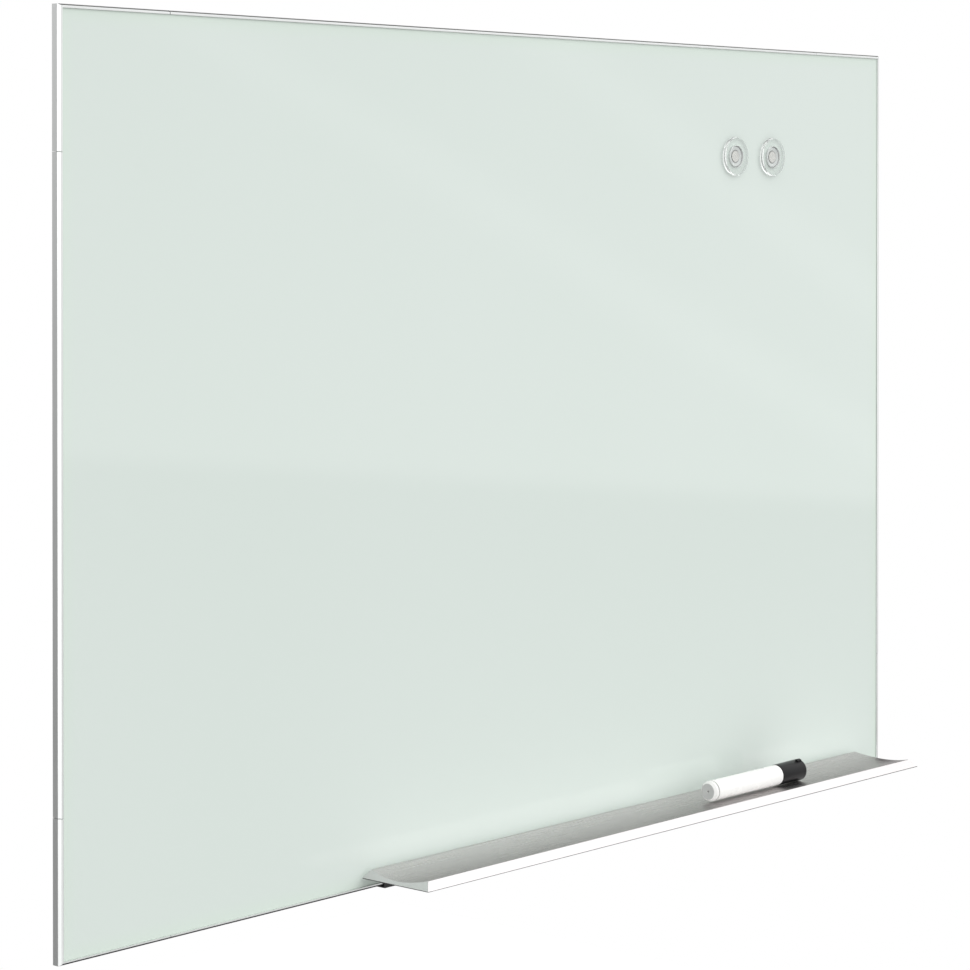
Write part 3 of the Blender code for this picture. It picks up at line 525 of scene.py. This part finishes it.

# Tray
# One length of extruded aluminium, satin anodised like the frame, with a shallow dish along its
# top. Its ends are sawn at a slope, which leaves them duller. Its lower edges are broken with a
# file, and they and the underside carry the frame's dark grey as painted shade.
TRAY_EASING = 0.0004
TRAY_FRONT_BREAK = 0.0007
TRAY_END_BREAK = 0.0010
TRAY_LIGHT = '#E9E6E6'
TRAY_DARK = '#E5E2E2'
TRAY_EDGE = '#BCB9B9'
TRAY_ROUGHNESS = 0.28
SAWN_LIGHT = '#DEDDDD'
SAWN_DARK = '#D8D7D7'
SAWN_ROUGHNESS = 0.45
SAWN_FACING = 0.5
SAWN_EDGE = 0.96
UNDERSIDE_FACING = 0.05

tray_metal = extruded_metal('satin_anodised_tray', TRAY_LIGHT, TRAY_DARK, TRAY_ROUGHNESS,
                            ANODISED_LINE_MM, 'x', Specular_Tint=linear(TRAY_EDGE))
sawn_metal = extruded_metal('sawn_tray_end', SAWN_LIGHT, SAWN_DARK, SAWN_ROUGHNESS,
                            ANODISED_LINE_MM, 'z')
shelf = worked_copy('tray_shelf', 'tray_extrusion')
tray_low, tray_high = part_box('tray_shelf')
for tray_end in (tray_low.x, tray_high.x):
    pick_edges(shelf, lambda place: (abs(place.x - tray_end) < NEAR
                                     and place.z - tray_low.z < NEAR))
    edit(shelf, lambda: bpy.ops.mesh.bevel(offset=TRAY_END_BREAK, segments=1))
pick_edges(shelf, lambda place: place.y - tray_low.y < NEAR and place.z - tray_low.z < NEAR)
edit(shelf, lambda: bpy.ops.mesh.bevel(offset=TRAY_FRONT_BREAK, segments=1))
eased(shelf, TRAY_EASING, FINE_STEPS)
fit(shelf, tray_metal, 'tray', 'anodised_aluminium', 'tray_shelf')
shelf.data.materials.append(sawn_metal)
shelf.data.materials.append(underside)
# Faces that look down take the dark grey as painted shade, and the two ends take the sawn look.
for face in shelf.data.polygons:
    below = -face.normal.z > UNDERSIDE_FACING and abs(face.normal.x) < SAWN_EDGE
    face.material_index = 2 if below else 1 if abs(face.normal.x) > SAWN_FACING else 0

# Tray clips and screws
# Two clips moulded in black nylon, which has a soft gloss, reach from under the tray around the
# frame's lower edge. Two zinc plated screws from below hold the tray on each clip.
NYLON_LIGHT = '#242426'
NYLON_DARK = '#19191A'
NYLON_ROUGHNESS = 0.45
NYLON_GRAIN_MM = 0.5
NYLON_RELIEF = 0.00005
MOULD_DETAIL = 3
MOULD_FLOW_MM = 16.67
MOULD_GLOSS_SPREAD = 0.05
MOULD_RELIEF_SHARE = 0.3
CLIP_EASING = 0.0003
SCREW_EASING = 0.0002


def moulded_plastic(name, light, dark, roughness, grain_mm, relief_depth, **sockets):
    """Injection moulded plastic: an almost even colour, with the mould's fine grain in its gloss.

    The real grain is finer, and this one is as coarse as it needs to be to show."""
    look, tree, shader = new_look(name, **sockets)
    place = add_node(tree, 'TexCoord', {})
    grain = add_node(tree, 'TexNoise', {'Vector': place.outputs['Object'],
                                        'Scale': MM_PER_METRE / grain_mm, 'Detail': MOULD_DETAIL})
    flow = add_node(tree, 'TexNoise', {'Vector': place.outputs['Object'],
                                       'Scale': MM_PER_METRE / MOULD_FLOW_MM})
    tint = add_node(tree, 'Mix', {0: flow.outputs['Fac'], 6: linear(dark), 7: linear(light)},
                    data_type='RGBA')
    gloss = add_node(tree, 'MapRange', {'Value': flow.outputs['Fac'],
                                        'To Min': roughness + MOULD_GLOSS_SPREAD,
                                        'To Max': roughness - MOULD_GLOSS_SPREAD})
    relief = add_node(tree, 'Bump', {'Height': grain.outputs['Fac'], 'Strength': MOULD_RELIEF_SHARE,
                                     'Distance': relief_depth})
    feed(tree, shader, Base_Color=tint.outputs[2], Roughness=gloss.outputs[0],
         Normal=relief.outputs[0])
    return look


nylon = moulded_plastic('moulded_black_nylon', NYLON_LIGHT, NYLON_DARK, NYLON_ROUGHNESS,
                        NYLON_GRAIN_MM, NYLON_RELIEF)
for hand in ('left', 'right'):
    node = 'tray_clip_' + hand
    clip = eased(worked_copy(node, node + '_moulding'), CLIP_EASING)
    fit(clip, nylon, 'tray', 'black_plastic', node)
    for row in ('front', 'back'):
        node = f'tray_screw_{hand}_{row}'
        screw = eased(worked_copy(node, node + '_plated'), SCREW_EASING)
        fit(screw, zinc_plate, 'tray', 'zinc_plated_steel', node)

# Marker body
# A white polypropylene barrel, open at both ends. It narrows to a neck for the cap, and a white
# plug with a small gate mark closes its rear. The polished mould makes it glossy, and only the
# plug's end face, which is sparked, comes out matt. That face is painted a darker grey as shade,
# and the gate's dimple and the spigot in the groove are painted dark as shade.
TURNED_SIDES = 96
POLY_LIGHT = '#EFEFED'
POLY_DARK = '#EBEBE9'
POLY_ROUGHNESS = 0.28
POLY_IOR = 1.49
POLY_GRAIN_MM = 1.2
POLY_RELIEF = 0.00001
END_FACE_SHADE_LIGHT = '#BDBEBD'
END_FACE_SHADE_DARK = '#B5B6B5'
FACE_ROUGHNESS = 0.5
FACE_RELIEF = 0.00002
RECESS_SHADE_LIGHT = '#6A6B6A'
RECESS_SHADE_DARK = '#5E5F5E'
BARREL_BORE = 0.0067
BARREL_RADIUS = 0.0080
NECK_RADIUS = 0.0072
SHOULDER = 0.0899
NECK_END = 0.0989
PLUG_HEAD = 0.0044
PLUG_FACE_RADIUS = 0.0062
PLUG_SPIGOT_RADIUS = 0.0064
PLUG_SPIGOT_END = 0.0127
PLUG_RIM_WIDTH = 0.0009
PLUG_RECESS = 0.0003
GATE_RADIUS = 0.0007
GATE_DEPTH = 0.0012
FIT_GAP = 0.0003
GROOVE_WIDTH = 0.0010
FACE_FACING = 0.8
BARREL_EASING = 0.0004

marker_low, marker_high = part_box('marker_barrel')
marker_rear = Vector((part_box('marker_end_plug')[0].x, (marker_low.y + marker_high.y) / 2,
                      (marker_low.z + marker_high.z) / 2))


def turned(name, start, forward, rings, open_ends=False):
    """A turned piece: a circle at the first ring, extruded and scaled to each ring after it.

    A ring is (distance forward from start, radius). Both ends are closed by a flat face, or the
    last ring is joined to the first where the piece is a tube."""
    bpy.ops.object.select_all(action='DESELECT')
    facing = forward.to_track_quat('Z', 'Y')
    bpy.ops.mesh.primitive_circle_add(vertices=TURNED_SIDES, radius=rings[0][1],
                                      location=start + forward * rings[0][0],
                                      rotation=facing.to_euler())
    piece = bpy.context.object
    piece.name = piece.data.name = name
    bpy.ops.object.transform_apply(location=True, rotation=True, scale=True)

    def raise_rings():
        bpy.ops.mesh.select_all(action='SELECT')
        if not open_ends:
            bpy.ops.mesh.duplicate()
            bpy.ops.mesh.edge_face_add()
            bpy.ops.mesh.select_all(action='INVERT')
        for (before, old), (after, new) in zip(rings, rings[1:]):
            bpy.ops.mesh.extrude_edges_move(
                TRANSFORM_OT_translate={'value': forward * (after - before)})
            if new != old:
                bpy.ops.transform.resize(value=(new / old,) * 3,
                                         center_override=start + forward * after)
        if not open_ends:
            bpy.ops.mesh.edge_face_add()
        bpy.ops.mesh.select_all(action='SELECT')
        bpy.ops.mesh.remove_doubles(threshold=MERGE_DISTANCE)
        bpy.ops.mesh.normals_make_consistent(inside=False)
        bpy.ops.mesh.select_all(action='DESELECT')

    return edit(piece, raise_rings)


white_poly = moulded_plastic('moulded_white_polypropylene', POLY_LIGHT, POLY_DARK, POLY_ROUGHNESS,
                             POLY_GRAIN_MM, POLY_RELIEF, IOR=POLY_IOR)
end_face_painted_shade = moulded_plastic('sparked_polypropylene_painted_end_shade', END_FACE_SHADE_LIGHT, END_FACE_SHADE_DARK,
                            FACE_ROUGHNESS, POLY_GRAIN_MM, FACE_RELIEF, IOR=POLY_IOR)
recess_painted_shade = moulded_plastic('polypropylene_painted_recess_shade', RECESS_SHADE_LIGHT, RECESS_SHADE_DARK, FACE_ROUGHNESS,
                            POLY_GRAIN_MM, FACE_RELIEF, IOR=POLY_IOR)
barrel_rear = PLUG_HEAD + FIT_GAP + GROOVE_WIDTH
barrel = turned('marker_barrel_moulding', marker_rear, Vector((1, 0, 0)), [
    (barrel_rear, BARREL_BORE), (barrel_rear, BARREL_RADIUS), (SHOULDER, BARREL_RADIUS),
    (SHOULDER, NECK_RADIUS), (NECK_END, NECK_RADIUS), (NECK_END, BARREL_BORE),
    (barrel_rear, BARREL_BORE)], open_ends=True)
fit(eased(barrel, BARREL_EASING, FINE_STEPS), white_poly, 'marker', 'white_plastic', 'marker_barrel')

plug = turned('marker_end_plug_moulding', marker_rear, Vector((1, 0, 0)), [
    (GATE_DEPTH, GATE_RADIUS), (PLUG_RECESS, GATE_RADIUS),
    (PLUG_RECESS, PLUG_FACE_RADIUS - 2 * PLUG_RIM_WIDTH), (0, PLUG_FACE_RADIUS - PLUG_RIM_WIDTH),
    (0, PLUG_FACE_RADIUS), (PLUG_HEAD / 2, BARREL_RADIUS), (PLUG_HEAD, BARREL_RADIUS),
    (PLUG_HEAD, PLUG_SPIGOT_RADIUS), (PLUG_SPIGOT_END, PLUG_SPIGOT_RADIUS)])
fit(eased(plug, BARREL_EASING, FINE_STEPS), white_poly, 'marker', 'white_plastic',
    'marker_end_plug')
plug.data.materials.append(end_face_painted_shade)
plug.data.materials.append(recess_painted_shade)
# Painted shade: the gate's dimple is dark, and so is the spigot where it shows in the groove before
# the barrel. The end face takes a grey painted shade.
for face in plug.data.polygons:
    out = face.center - marker_rear
    if math.hypot(out.y, out.z) < GATE_RADIUS + NEAR and face.normal.x < NEAR:
        face.material_index = 2
    elif face.normal.x < -FACE_FACING:
        face.material_index = 1
    elif face.center.x > marker_rear.x + PLUG_HEAD + NEAR:
        face.material_index = 2

# Nib holder, nib and ink reservoir
# The holder is a white plug with a cone, pressed into the barrel's neck. The bullet nib is
# pressed felt soaked in black ink, and it draws from a felt rod that fills the barrel.
FELT_LIGHT = '#1B1B20'
FELT_DARK = '#08080B'
FELT_ROUGHNESS = 0.85
FELT_SHEEN = 0.25
FELT_FIBRE_MM = 0.3
FELT_DETAIL = 4
FELT_RELIEF = 0.0001
FELT_RELIEF_SHARE = 0.6
HOLDER_EASING = 0.0002
NIB_EASING = 0.0003

# Felt is matt, with a soft sheen from its fibre ends. The fibres are drawn coarse enough to show.
felt, tree, shader = new_look('ink_soaked_felt', Roughness=FELT_ROUGHNESS, Sheen_Weight=FELT_SHEEN)
place = add_node(tree, 'TexCoord', {})
fibres = add_node(tree, 'TexNoise', {'Vector': place.outputs['Object'],
                                     'Scale': MM_PER_METRE / FELT_FIBRE_MM,
                                     'Detail': FELT_DETAIL})
tint = add_node(tree, 'Mix', {0: fibres.outputs['Fac'], 6: linear(FELT_DARK),
                              7: linear(FELT_LIGHT)}, data_type='RGBA')
relief = add_node(tree, 'Bump', {'Height': fibres.outputs['Fac'], 'Strength': FELT_RELIEF_SHARE,
                                 'Distance': FELT_RELIEF})
feed(tree, shader, Base_Color=tint.outputs[2], Normal=relief.outputs[0])
holder = eased(worked_copy('marker_nib_holder', 'nib_holder_moulding'), HOLDER_EASING)
fit(holder, white_poly, 'marker', 'white_plastic', 'marker_nib_holder')
nib = eased(worked_copy('marker_nib', 'bullet_nib'), NIB_EASING)
fit(nib, felt, 'marker', 'black_felt', 'marker_nib')
dress('marker_reservoir', felt)

# Cap
# Moulded in glossy black polypropylene, with a rounded closed end and a small nub on its side
# that keeps the marker from rolling off the tray.
CAP_LIGHT = '#161618'
CAP_DARK = '#0F0F10'
CAP_ROUGHNESS = 0.34
CAP_SHINE = 0.18
CAP_RELIEF = 0.00002
CAP_MOUTH = 0.0902
CAP_END = 0.1217
CAP_ROOF = 0.1202
CAP_RADIUS = 0.0083
CAP_END_RADIUS = 0.0086
CAP_BORE = 0.0075
CAP_TAPER = 0.0002
CAP_END_ROUND = 0.0012
CAP_ROUND_STEPS = 6
NUB_SIZE = Vector((0.0056, 0.0030, 0.0020))
NUB_INSET = 0.0019
NUB_TOP = 0.0099
NUB_TURN = math.radians(20)
NUB_ROUND = 0.0006
CAP_EASING = 0.0002

black_poly = moulded_plastic('moulded_black_polypropylene', CAP_LIGHT, CAP_DARK, CAP_ROUGHNESS,
                             POLY_GRAIN_MM, CAP_RELIEF, IOR=POLY_IOR,
                             Specular_IOR_Level=CAP_SHINE)
round_steps = [(CAP_END - CAP_END_ROUND * (1 - math.sin(a)),
                CAP_END_RADIUS - CAP_END_ROUND * (1 - math.cos(a)))
               for a in (i * math.pi / 2 / CAP_ROUND_STEPS for i in range(CAP_ROUND_STEPS + 1))]
cap = turned('cap_moulding', marker_rear, Vector((1, 0, 0)), [
    (CAP_ROOF, CAP_BORE - CAP_TAPER), (CAP_MOUTH, CAP_BORE), (CAP_MOUTH, CAP_RADIUS)]
    + round_steps)
eased(cap, CAP_EASING)
nub_middle = marker_rear + Vector((CAP_END - NUB_INSET - NUB_SIZE.x / 2, 0, 0))
nub_out = Vector((0, -math.sin(NUB_TURN), math.cos(NUB_TURN)))
bpy.ops.object.select_all(action='DESELECT')
bpy.ops.mesh.primitive_cube_add(size=1, location=nub_middle + nub_out * (NUB_TOP - NUB_SIZE.z / 2),
                                rotation=(NUB_TURN, 0, 0), scale=NUB_SIZE)
nub = bpy.context.object
nub.name = nub.data.name = 'cap_nub'
bpy.ops.object.transform_apply(location=True, rotation=True, scale=True)
eased(nub, NUB_ROUND, FINE_STEPS)
fit(cap, black_poly, 'cap', 'black_plastic', 'marker_cap')
fit(nub, black_poly, 'cap', 'black_plastic')

# Magnets
# Each is a polished disc of clear acrylic with a pocket in its back. A moulded grey collar in the
# pocket holds a nickel plated disc magnet. Its rim and its seat around the magnet are painted darker
# as shade, so the eye meets two thin dark rings and a bright middle deep in the clear disc.
ACRYLIC_COLOUR = '#FDFEFE'
ACRYLIC_IOR = 1.49
ACRYLIC_SMOOTHEST = 0.01
ACRYLIC_ROUGHEST = 0.04
ACRYLIC_POLISH_MM = 2.5
ACRYLIC_TURNS = 3
ACRYLIC_PASSING = '#FAFBFA'
SIDE_PASSING = '#B4B4B4'
POCKET_LIGHT = '#F7F9F8'
POCKET_DARK = '#F5F7F6'
RIM_SHADE_LIGHT = '#717473'
RIM_SHADE_DARK = '#6B6E6D'
SEAT_SHADE_LIGHT = '#676968'
SEAT_SHADE_DARK = '#616362'
COLLAR_LIGHT = '#D2D5D4'
COLLAR_DARK = '#CACDCC'
COLLAR_ROUGHNESS = 0.4
POCKET_ROUGHNESS = 0.5
INSERT_RELIEF = 0.00002
NICKEL_LIGHT = '#D8D7D3'
NICKEL_DARK = '#C9C8C4'
NICKEL_ROUGHNESS = 0.22
NICKEL_GRAIN_MM = 2.0
LENS_RADIUS = 0.0155
LENS_THICKNESS = 0.0029
LENS_BEVEL = 0.0005
POCKET_RADIUS = 0.0088
POCKET_DEPTH = 0.0022
POCKET_EDGE = 0.00015
COLLAR_RADIUS = 0.0085
COLLAR_BORE = 0.00505
INSERT_HEIGHT = 0.0010
COLLAR_LIP = 0.0006
COLLAR_GAP = 0.0003
COLLAR_SINK = 0.0005
CORE_RADIUS = 0.00475
LENS_EASING = 0.0001
CORE_EASING = 0.0003
COLLAR_EASING = 0.0001


def clear_acrylic(name, passing_colour):
    """Clear acrylic that bends what is behind it, with a polish that is not quite even.

    Light that isn't seen directly goes straight through it in the passing colour, and so does
    light that has turned inside it a few times."""
    look, tree, shader = new_look(name, IOR=ACRYLIC_IOR, Transmission_Weight=1,
                                  Base_Color=linear(ACRYLIC_COLOUR))
    place = add_node(tree, 'TexCoord', {})
    polish = add_node(tree, 'TexNoise', {'Vector': place.outputs['Object'],
                                         'Scale': MM_PER_METRE / ACRYLIC_POLISH_MM})
    gloss = add_node(tree, 'MapRange', {'Value': polish.outputs['Fac'],
                                        'To Min': ACRYLIC_SMOOTHEST, 'To Max': ACRYLIC_ROUGHEST})
    feed(tree, shader, Roughness=gloss.outputs[0])
    path = add_node(tree, 'LightPath', {})
    unseen = add_node(tree, 'Math', {0: path.outputs['Is Shadow Ray'],
                                     1: path.outputs['Is Diffuse Ray']}, operation='MAXIMUM')
    deep = add_node(tree, 'Math', {0: path.outputs['Ray Depth'], 1: ACRYLIC_TURNS},
                    operation='GREATER_THAN')
    straight = add_node(tree, 'Math', {0: unseen.outputs[0], 1: deep.outputs[0]},
                        operation='MAXIMUM')
    passing = add_node(tree, 'BsdfTransparent', {'Color': linear(passing_colour)})
    surface = add_node(tree, 'MixShader', {0: straight.outputs[0], 1: shader.outputs[0],
                                           2: passing.outputs[0]})
    tree.links.new(surface.outputs[0], tree.nodes['Material Output'].inputs['Surface'])
    return look


acrylic = clear_acrylic('polished_clear_acrylic', ACRYLIC_PASSING)
acrylic_side = clear_acrylic('turned_clear_acrylic', SIDE_PASSING)
pocket_wall = moulded_plastic('turned_pocket_wall', POCKET_LIGHT, POCKET_DARK, POCKET_ROUGHNESS,
                              POLY_GRAIN_MM, INSERT_RELIEF)
collar_plastic = moulded_plastic('moulded_grey_collar', COLLAR_LIGHT, COLLAR_DARK,
                                 COLLAR_ROUGHNESS, POLY_GRAIN_MM, INSERT_RELIEF)
rim_painted_shade = moulded_plastic('collar_rim_painted_shade', RIM_SHADE_LIGHT, RIM_SHADE_DARK, COLLAR_ROUGHNESS,
                               POLY_GRAIN_MM, INSERT_RELIEF)
seat_painted_shade = moulded_plastic('collar_seat_painted_shade', SEAT_SHADE_LIGHT, SEAT_SHADE_DARK, POCKET_ROUGHNESS,
                              POLY_GRAIN_MM, INSERT_RELIEF)
nickel = plated_metal('nickel_plated_magnet', NICKEL_LIGHT, NICKEL_DARK, NICKEL_ROUGHNESS,
                      NICKEL_GRAIN_MM)
for hand in ('left', 'right'):
    name = 'magnet_' + hand
    low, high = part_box(name + '_lens')
    back = Vector(((low.x + high.x) / 2, high.y, (low.z + high.z) / 2))
    lens = turned(name + '_lens_disc', back, Vector((0, -1, 0)), [
        (POCKET_DEPTH, POCKET_RADIUS), (0, POCKET_RADIUS), (0, LENS_RADIUS),
        (LENS_THICKNESS - LENS_BEVEL, LENS_RADIUS), (LENS_THICKNESS, LENS_RADIUS - LENS_BEVEL)])
    fit(eased(lens, LENS_EASING), acrylic, name, 'clear_acrylic', name + '_lens')
    lens.data.materials.append(pocket_wall)
    lens.data.materials.append(acrylic_side)
    # The pocket's wall and the disc's outer side are left as turned.
    for face in lens.data.polygons:
        out = face.center - back
        radius = math.hypot(out.x, out.z)
        face.material_index = (1 if abs(radius - POCKET_RADIUS) < POCKET_EDGE
                               else 2 if radius > LENS_RADIUS - POCKET_EDGE else 0)
    collar = turned(name + '_collar_ring', back, Vector((0, -1, 0)), [
        (0, COLLAR_BORE), (0, COLLAR_RADIUS), (INSERT_HEIGHT, COLLAR_RADIUS),
        (INSERT_HEIGHT, COLLAR_RADIUS - COLLAR_LIP),
        (INSERT_HEIGHT - COLLAR_SINK, COLLAR_BORE + COLLAR_GAP),
        (INSERT_HEIGHT - COLLAR_SINK, COLLAR_BORE), (0, COLLAR_BORE)], open_ends=True)
    fit(eased(collar, COLLAR_EASING), collar_plastic, name, 'grey_plastic', name + '_collar')
    collar.data.materials.append(rim_painted_shade)
    collar.data.materials.append(seat_painted_shade)
    # Painted shade: the collar's rim and its seat around the magnet take darker greys.
    for face in collar.data.polygons:
        out = face.center - back
        radius = math.hypot(out.x, out.z)
        face.material_index = (1 if radius > COLLAR_RADIUS - COLLAR_LIP
                               else 2 if radius < COLLAR_BORE + COLLAR_GAP else 0)
    core = turned(name + '_core_disc', back, Vector((0, -1, 0)), [
        (0, CORE_RADIUS), (INSERT_HEIGHT, CORE_RADIUS)])
    fit(eased(core, CORE_EASING, FINE_STEPS), nickel, name, 'nickel_plated_magnet', name + '_core')

# Floor, lights and surroundings
# A pale floor below the board, one large soft light from the upper right and a white room. The
# camera sees the room plain white, and metal and glass mirror soft lighter and darker areas of it.
FLOOR_Z = -1.4
FLOOR_HALF = 2.4
FLOOR_COLOUR = '#B4B4B4'
FLOOR_GLOW = 0.38
ROOM_LIGHT = 0.965
GROUND_START = 0.0
GROUND_END = 0.35
GROUND_CHANGE = -0.4
ROOM_TILT = Vector((0.30, -0.10, 0.70))
KEY_PLACE = Vector((6.3, -4.2, 3.3))
KEY_AIM = Vector((0, 0, -0.2))
KEY_SIZE = 3.3
KEY_POWER = 120
# Each area has the direction of its middle, the cosines of the angles where it starts and where
# it is whole, and how much it changes the light.
MIRROR_AREAS = (
    ((-1.0, -0.15, 0.2), 0.86, 0.98, 0.85),
    ((0.72, -0.25, 0.64), 0.80, 0.96, 0.40),
    ((0.66, -0.75, -0.08), 0.93, 0.995, 0.10),
    ((0.74, 0.45, 0.48), 0.88, 0.97, -0.95),
    ((0.70, 0.50, -0.51), 0.87, 0.95, -1.0),
    ((0.74, 0.15, -0.65), 0.70, 0.88, -1.0),
    ((-0.72, 0.64, -0.27), 0.88, 0.99, -0.80),
)
# The lower glass mirrors a darker patch. Two planes bound it, given by their normals, and it
# fades out around its middle. Two lighter strips cross it, each with its plane's normal, its
# half width as a cosine and how much it changes the light.
PATCH_TOP_NORMAL = Vector((0.1074, -0.0228, 0.9940))
PATCH_FOOT_NORMAL = Vector((0, 0.3575, -0.9339))
PATCH_EDGE = 0.004
PATCH_MIDDLE = Vector((0.74, -0.65, -0.17)).normalized()
PATCH_START = 0.945
PATCH_WHOLE = 0.965
PATCH_CHANGE = -0.6
STRIPS = (
    (Vector((0.3507, 0.3916, 0.8507)), 0.014, 0.24),
    (Vector((0.3682, 0.4958, 0.7865)), 0.014, 0.24),
)

bpy.ops.object.select_all(action='DESELECT')
bpy.ops.mesh.primitive_plane_add(size=2 * FLOOR_HALF, location=(0, 0, FLOOR_Z))
floor = bpy.context.object
floor.name = floor.data.name = 'floor'
floor.visible_glossy = False
# Matt paint, a little brighter to the camera than its light alone makes it.
floor_paint, tree, shader = new_look('pale_floor', Base_Color=linear(FLOOR_COLOUR), Roughness=1,
                                     Specular_IOR_Level=0, Emission_Color=(1, 1, 1, 1))
path = add_node(tree, 'LightPath', {})
seen = add_node(tree, 'Math', {0: path.outputs['Is Camera Ray'], 1: FLOOR_GLOW},
                operation='MULTIPLY')
feed(tree, shader, Emission_Strength=seen.outputs[0])
floor.data.materials.append(floor_paint)

key_data = bpy.data.lights.new('key', 'AREA')
key_data.size = KEY_SIZE
key_data.energy = KEY_POWER
key = bpy.data.objects.new('key', key_data)
key.location = KEY_PLACE
key.rotation_euler = (KEY_AIM - KEY_PLACE).to_track_quat('-Z', 'Y').to_euler()
key.visible_glossy = False
bpy.context.scene.collection.objects.link(key)

world = bpy.data.worlds.new('white_room')
bpy.context.scene.world = world
world.use_nodes = True
tree = world.node_tree
backdrop = tree.nodes['Background']
backdrop.inputs['Color'].default_value = (1, 1, 1, 1)
path = add_node(tree, 'LightPath', {})
way = add_node(tree, 'TexCoord', {})


def soft_area(direction, start, whole, change):
    """A change of the room's light that sets in softly. The cosine of the angle between ray and
    direction says where: there is none of it at the start and all of it at the whole."""
    turn = add_node(tree, 'VectorMath', {0: way.outputs['Generated'], 1: direction},
                    operation='DOT_PRODUCT')
    area = add_node(tree, 'MapRange', {'Value': turn.outputs['Value'], 'From Min': start,
                                       'From Max': whole, 'To Max': change},
                    interpolation_type='SMOOTHSTEP')
    return area.outputs[0]


below_top = soft_area(PATCH_TOP_NORMAL, PATCH_EDGE, -PATCH_EDGE, PATCH_CHANGE)
above_foot = soft_area(PATCH_FOOT_NORMAL, PATCH_EDGE, -PATCH_EDGE, 1)
shades = add_node(tree, 'Math', {0: below_top, 1: above_foot}, operation='MULTIPLY').outputs[0]
for normal, half_width, change in STRIPS:
    turn = add_node(tree, 'VectorMath', {0: way.outputs['Generated'], 1: normal},
                    operation='DOT_PRODUCT')
    off = add_node(tree, 'Math', {0: turn.outputs['Value']}, operation='ABSOLUTE')
    strip = add_node(tree, 'MapRange', {'Value': off.outputs[0], 'From Min': half_width,
                                        'From Max': 0, 'To Max': change},
                     interpolation_type='SMOOTHSTEP')
    shades = add_node(tree, 'Math', {0: shades, 1: strip.outputs[0]}).outputs[0]
patch_reach = soft_area(PATCH_MIDDLE, PATCH_START, PATCH_WHOLE, 1)
patch = add_node(tree, 'Math', {0: shades, 1: patch_reach}, operation='MULTIPLY')
mirrored = add_node(tree, 'Math', {0: 1.0, 1: patch.outputs[0]}).outputs[0]
for direction, start, whole, change in MIRROR_AREAS:
    area = soft_area(Vector(direction).normalized(), start, whole, change)
    mirrored = add_node(tree, 'Math', {0: mirrored, 1: area}).outputs[0]

# The room that lights the pieces is brighter above and to the right, and darker below.
tilt = add_node(tree, 'VectorMath', {0: way.outputs['Generated'], 1: ROOM_TILT},
                operation='DOT_PRODUCT')
level = add_node(tree, 'Math', {0: tilt.outputs['Value'], 1: ROOM_LIGHT})
ground = soft_area(Vector((0, 0, -1)), GROUND_START, GROUND_END, GROUND_CHANGE)
room = add_node(tree, 'Math', {0: level.outputs[0], 1: ground})
soft = add_node(tree, 'Mix', {0: path.outputs['Is Glossy Ray'], 2: room.outputs[0], 3: mirrored})
lit = add_node(tree, 'Math', {0: soft.outputs[0], 1: 0.0}, operation='MAXIMUM')
clear = add_node(tree, 'Math', {0: path.outputs['Is Camera Ray'],
                                1: path.outputs['Is Transmission Ray']}, operation='MAXIMUM')
shown = add_node(tree, 'Mix', {0: clear.outputs[0], 2: lit.outputs[0], 3: 1.0})
tree.links.new(shown.outputs[0], backdrop.inputs['Strength'])
